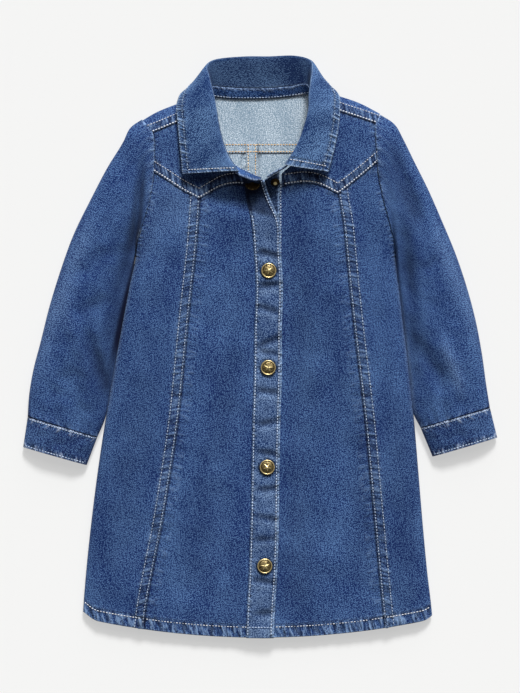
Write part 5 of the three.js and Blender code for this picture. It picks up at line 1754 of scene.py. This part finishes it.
def star(points, faces, hollow, turn):
    """A raised star on the dome, its arms ridged down the middle."""
    start = len(points)
    outline = []
    for i in range(10):
        radius = STAR_RADII[i % 2]
        angle = math.radians(turn + 90 + 36 * i)
        outline.append((radius * math.cos(angle), radius * math.sin(angle), radius))
    points.append((0, 0, CAP_DOME + 1.5))
    points += [(x, y, dome_z(r) + 0.35) for x, y, r in outline]
    points += [(x * 1.06, y * 1.06, dome_z(r) - 0.3) for x, y, r in outline]
    hollow += [-0.3] + [0.0, 0.45] * 5 + [1.2] * 10
    for i in range(10):
        j = (i + 1) % 10
        faces.append((start, start + 1 + i, start + 1 + j))
        faces.append((start + 1 + i, start + 11 + i, start + 11 + j, start + 1 + j))
    faces.append(tuple(start + 11 + i for i in range(10))[::-1])


def seat(name, points, faces, hollow, spot, surface, smooth_faces):
    """Puts a turned piece upright on the cloth. Faces after the smooth ones are flat facets."""
    reach = 6
    x, y = spot["x"], spot["y"]
    normal = np.array(
        [
            (surface(x - reach, y) - surface(x + reach, y)) / (2 * reach),
            (surface(x, y - reach) - surface(x, y + reach)) / (2 * reach) + spot.get("lean", 0),
            1.0,
        ]
    )
    normal = unit(normal)
    side = unit(np.cross((0, 1, 0), normal))
    turn = np.stack([side, np.cross(normal, side), normal])
    base = np.array([x, y - MIDDLE_Y, float(surface(x, y))]) + normal * spot["stand"]
    mesh = bpy.data.meshes.new(name)
    mesh.from_pydata(((np.array(points) @ turn + base) / 1000).tolist(), [], faces)
    mesh.polygons.foreach_set("use_smooth", np.arange(len(faces)) < smooth_faces)
    mesh.attributes.new("hollow", "FLOAT", "POINT").data.foreach_set("value", np.array(hollow, np.float32))
    mesh.materials.append(antique_brass)
    return add_piece(name, mesh)


def plain_over_placket_z(x, y):
    """The over placket's face without its creases, which the caps have pressed flat."""
    return front_z(x, y) + OVER_PLACKET_Z + open_top(x, y)


CAP_PROFILE = (
    (0, 0, 0.5), (7.1, 0, 1.2), (7.5, 0.5, 1.1), (7.55, 1.1, 0.8), (7.4, 1.7, -0.1), (7.0, 2.05, -0.5),
    (6.55, 2.0, 0.1), (6.25, 1.7, 0.8), (6.0, 1.62, 1.1), (5.7, 1.75, 0.9), (5.0, 2.1, 0.75), (4.0, 2.5, 0.8),
    (2.8, 2.85, 0.8), (1.4, 3.1, 0.7), (0, CAP_DOME, 0.6),
)
CAP_SIDES = 48
for name, spot in SNAPS.items():
    points, faces = turned([(radius, z) for radius, z, _ in CAP_PROFILE], CAP_SIDES)
    hollow = [CAP_PROFILE[0][2]]
    for _, _, dark in CAP_PROFILE[1:-1]:
        hollow += [dark] * CAP_SIDES
    hollow.append(CAP_PROFILE[-1][2])
    turned_faces = len(faces)
    star(points, faces, hollow, spot["turn"])
    # The cap at the neck is darkened past its patina by painted shade.
    patina_and_painted_shade = [dark + spot.get("painted_shade", 0) for dark in hollow]
    cap = seat(f"{name}_cap", points, faces, patina_and_painted_shade, spot, plain_over_placket_z, turned_faces)
    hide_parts(name)

STUD_PROFILE = ((0, 0), (4.6, 0), (4.6, 0.5), (2.1, 0.8), (1.8, 1.5), (2.1, 2.2), (1.5, 2.6), (0, 2.6))
STUD_SIDES = 32
points, faces = turned(STUD_PROFILE, STUD_SIDES)
bright = STUD_SIDES + 1  # the points of its top, which carry a painted glint; the rest of the stud is darkened by painted shade
hollow = [1.2] * (len(points) - bright) + [0.0] * bright
stud_spot = {"x": 15, "y": 163.4, "stand": 0.7}
stud = seat("snap_stud_neck_post", points, faces, hollow, stud_spot, under_placket_z, len(faces))
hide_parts("snap_stud_neck")

# Surface, light and camera
# A pale glowing studio floor, a dim white surround, and a small and a large soft light from above the collar.

FLOOR_REACH = 4
CAMERA_HEIGHT = 3000
VIEW = {"height": 693, "at": 4}  # the frame's height on the plane that lies `at` over the surface

floor_mesh = bpy.data.meshes.new("floor")
corners = [(-FLOOR_REACH, -FLOOR_REACH, 0), (FLOOR_REACH, -FLOOR_REACH, 0)]
corners += [(FLOOR_REACH, FLOOR_REACH, 0), (-FLOOR_REACH, FLOOR_REACH, 0)]
floor_mesh.from_pydata(corners, [], [(0, 1, 2, 3)])
floor_finish, _, floor_shader = new_material("pale_floor")
floor_shader.inputs["Base Color"].default_value = (0.42, 0.42, 0.415, 1)
floor_shader.inputs["Emission Color"].default_value = (1, 1, 0.995, 1)
floor_shader.inputs["Emission Strength"].default_value = 0.49
floor_shader.inputs["Roughness"].default_value = 0.9
floor_shader.inputs["Specular IOR Level"].default_value = 0.1
floor_mesh.materials.append(floor_finish)
floor = bpy.data.objects.new("floor", floor_mesh)
floor.location.z = -0.0003
bpy.context.scene.collection.objects.link(floor)
floor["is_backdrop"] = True

world = bpy.data.worlds.new("studio")
bpy.context.scene.world = world
world.use_nodes = True
surround = world.node_tree.nodes["Background"]
surround.inputs["Color"].default_value = (1, 1, 1, 1)
surround.inputs["Strength"].default_value = 0.17

for name, energy, spread in (("small_light", 3.3, 14), ("large_light", 1.15, 60)):
    light_data = bpy.data.lights.new(name, "SUN")
    light_data.energy = energy
    light_data.angle = math.radians(spread)
    light = bpy.data.objects.new(name, light_data)
    light.rotation_euler = (math.radians(-54), 0, math.radians(-9))
    bpy.context.scene.collection.objects.link(light)

camera_data = bpy.data.cameras.new("camera")
camera_data.sensor_width = 36
camera_data.lens = camera_data.sensor_width * (CAMERA_HEIGHT - VIEW["at"]) / VIEW["height"]
camera_data.clip_end = 20
camera = bpy.data.objects.new("camera", camera_data)
camera.location = (-0.0002, 0.0003, CAMERA_HEIGHT / 1000)
bpy.context.scene.collection.objects.link(camera)
bpy.context.scene.camera = camera
bpy.context.scene.view_settings.view_transform = "Standard"

both = {"cad": [list(corner) for corner in cad_box], "visual": [list(corner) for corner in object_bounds()]}
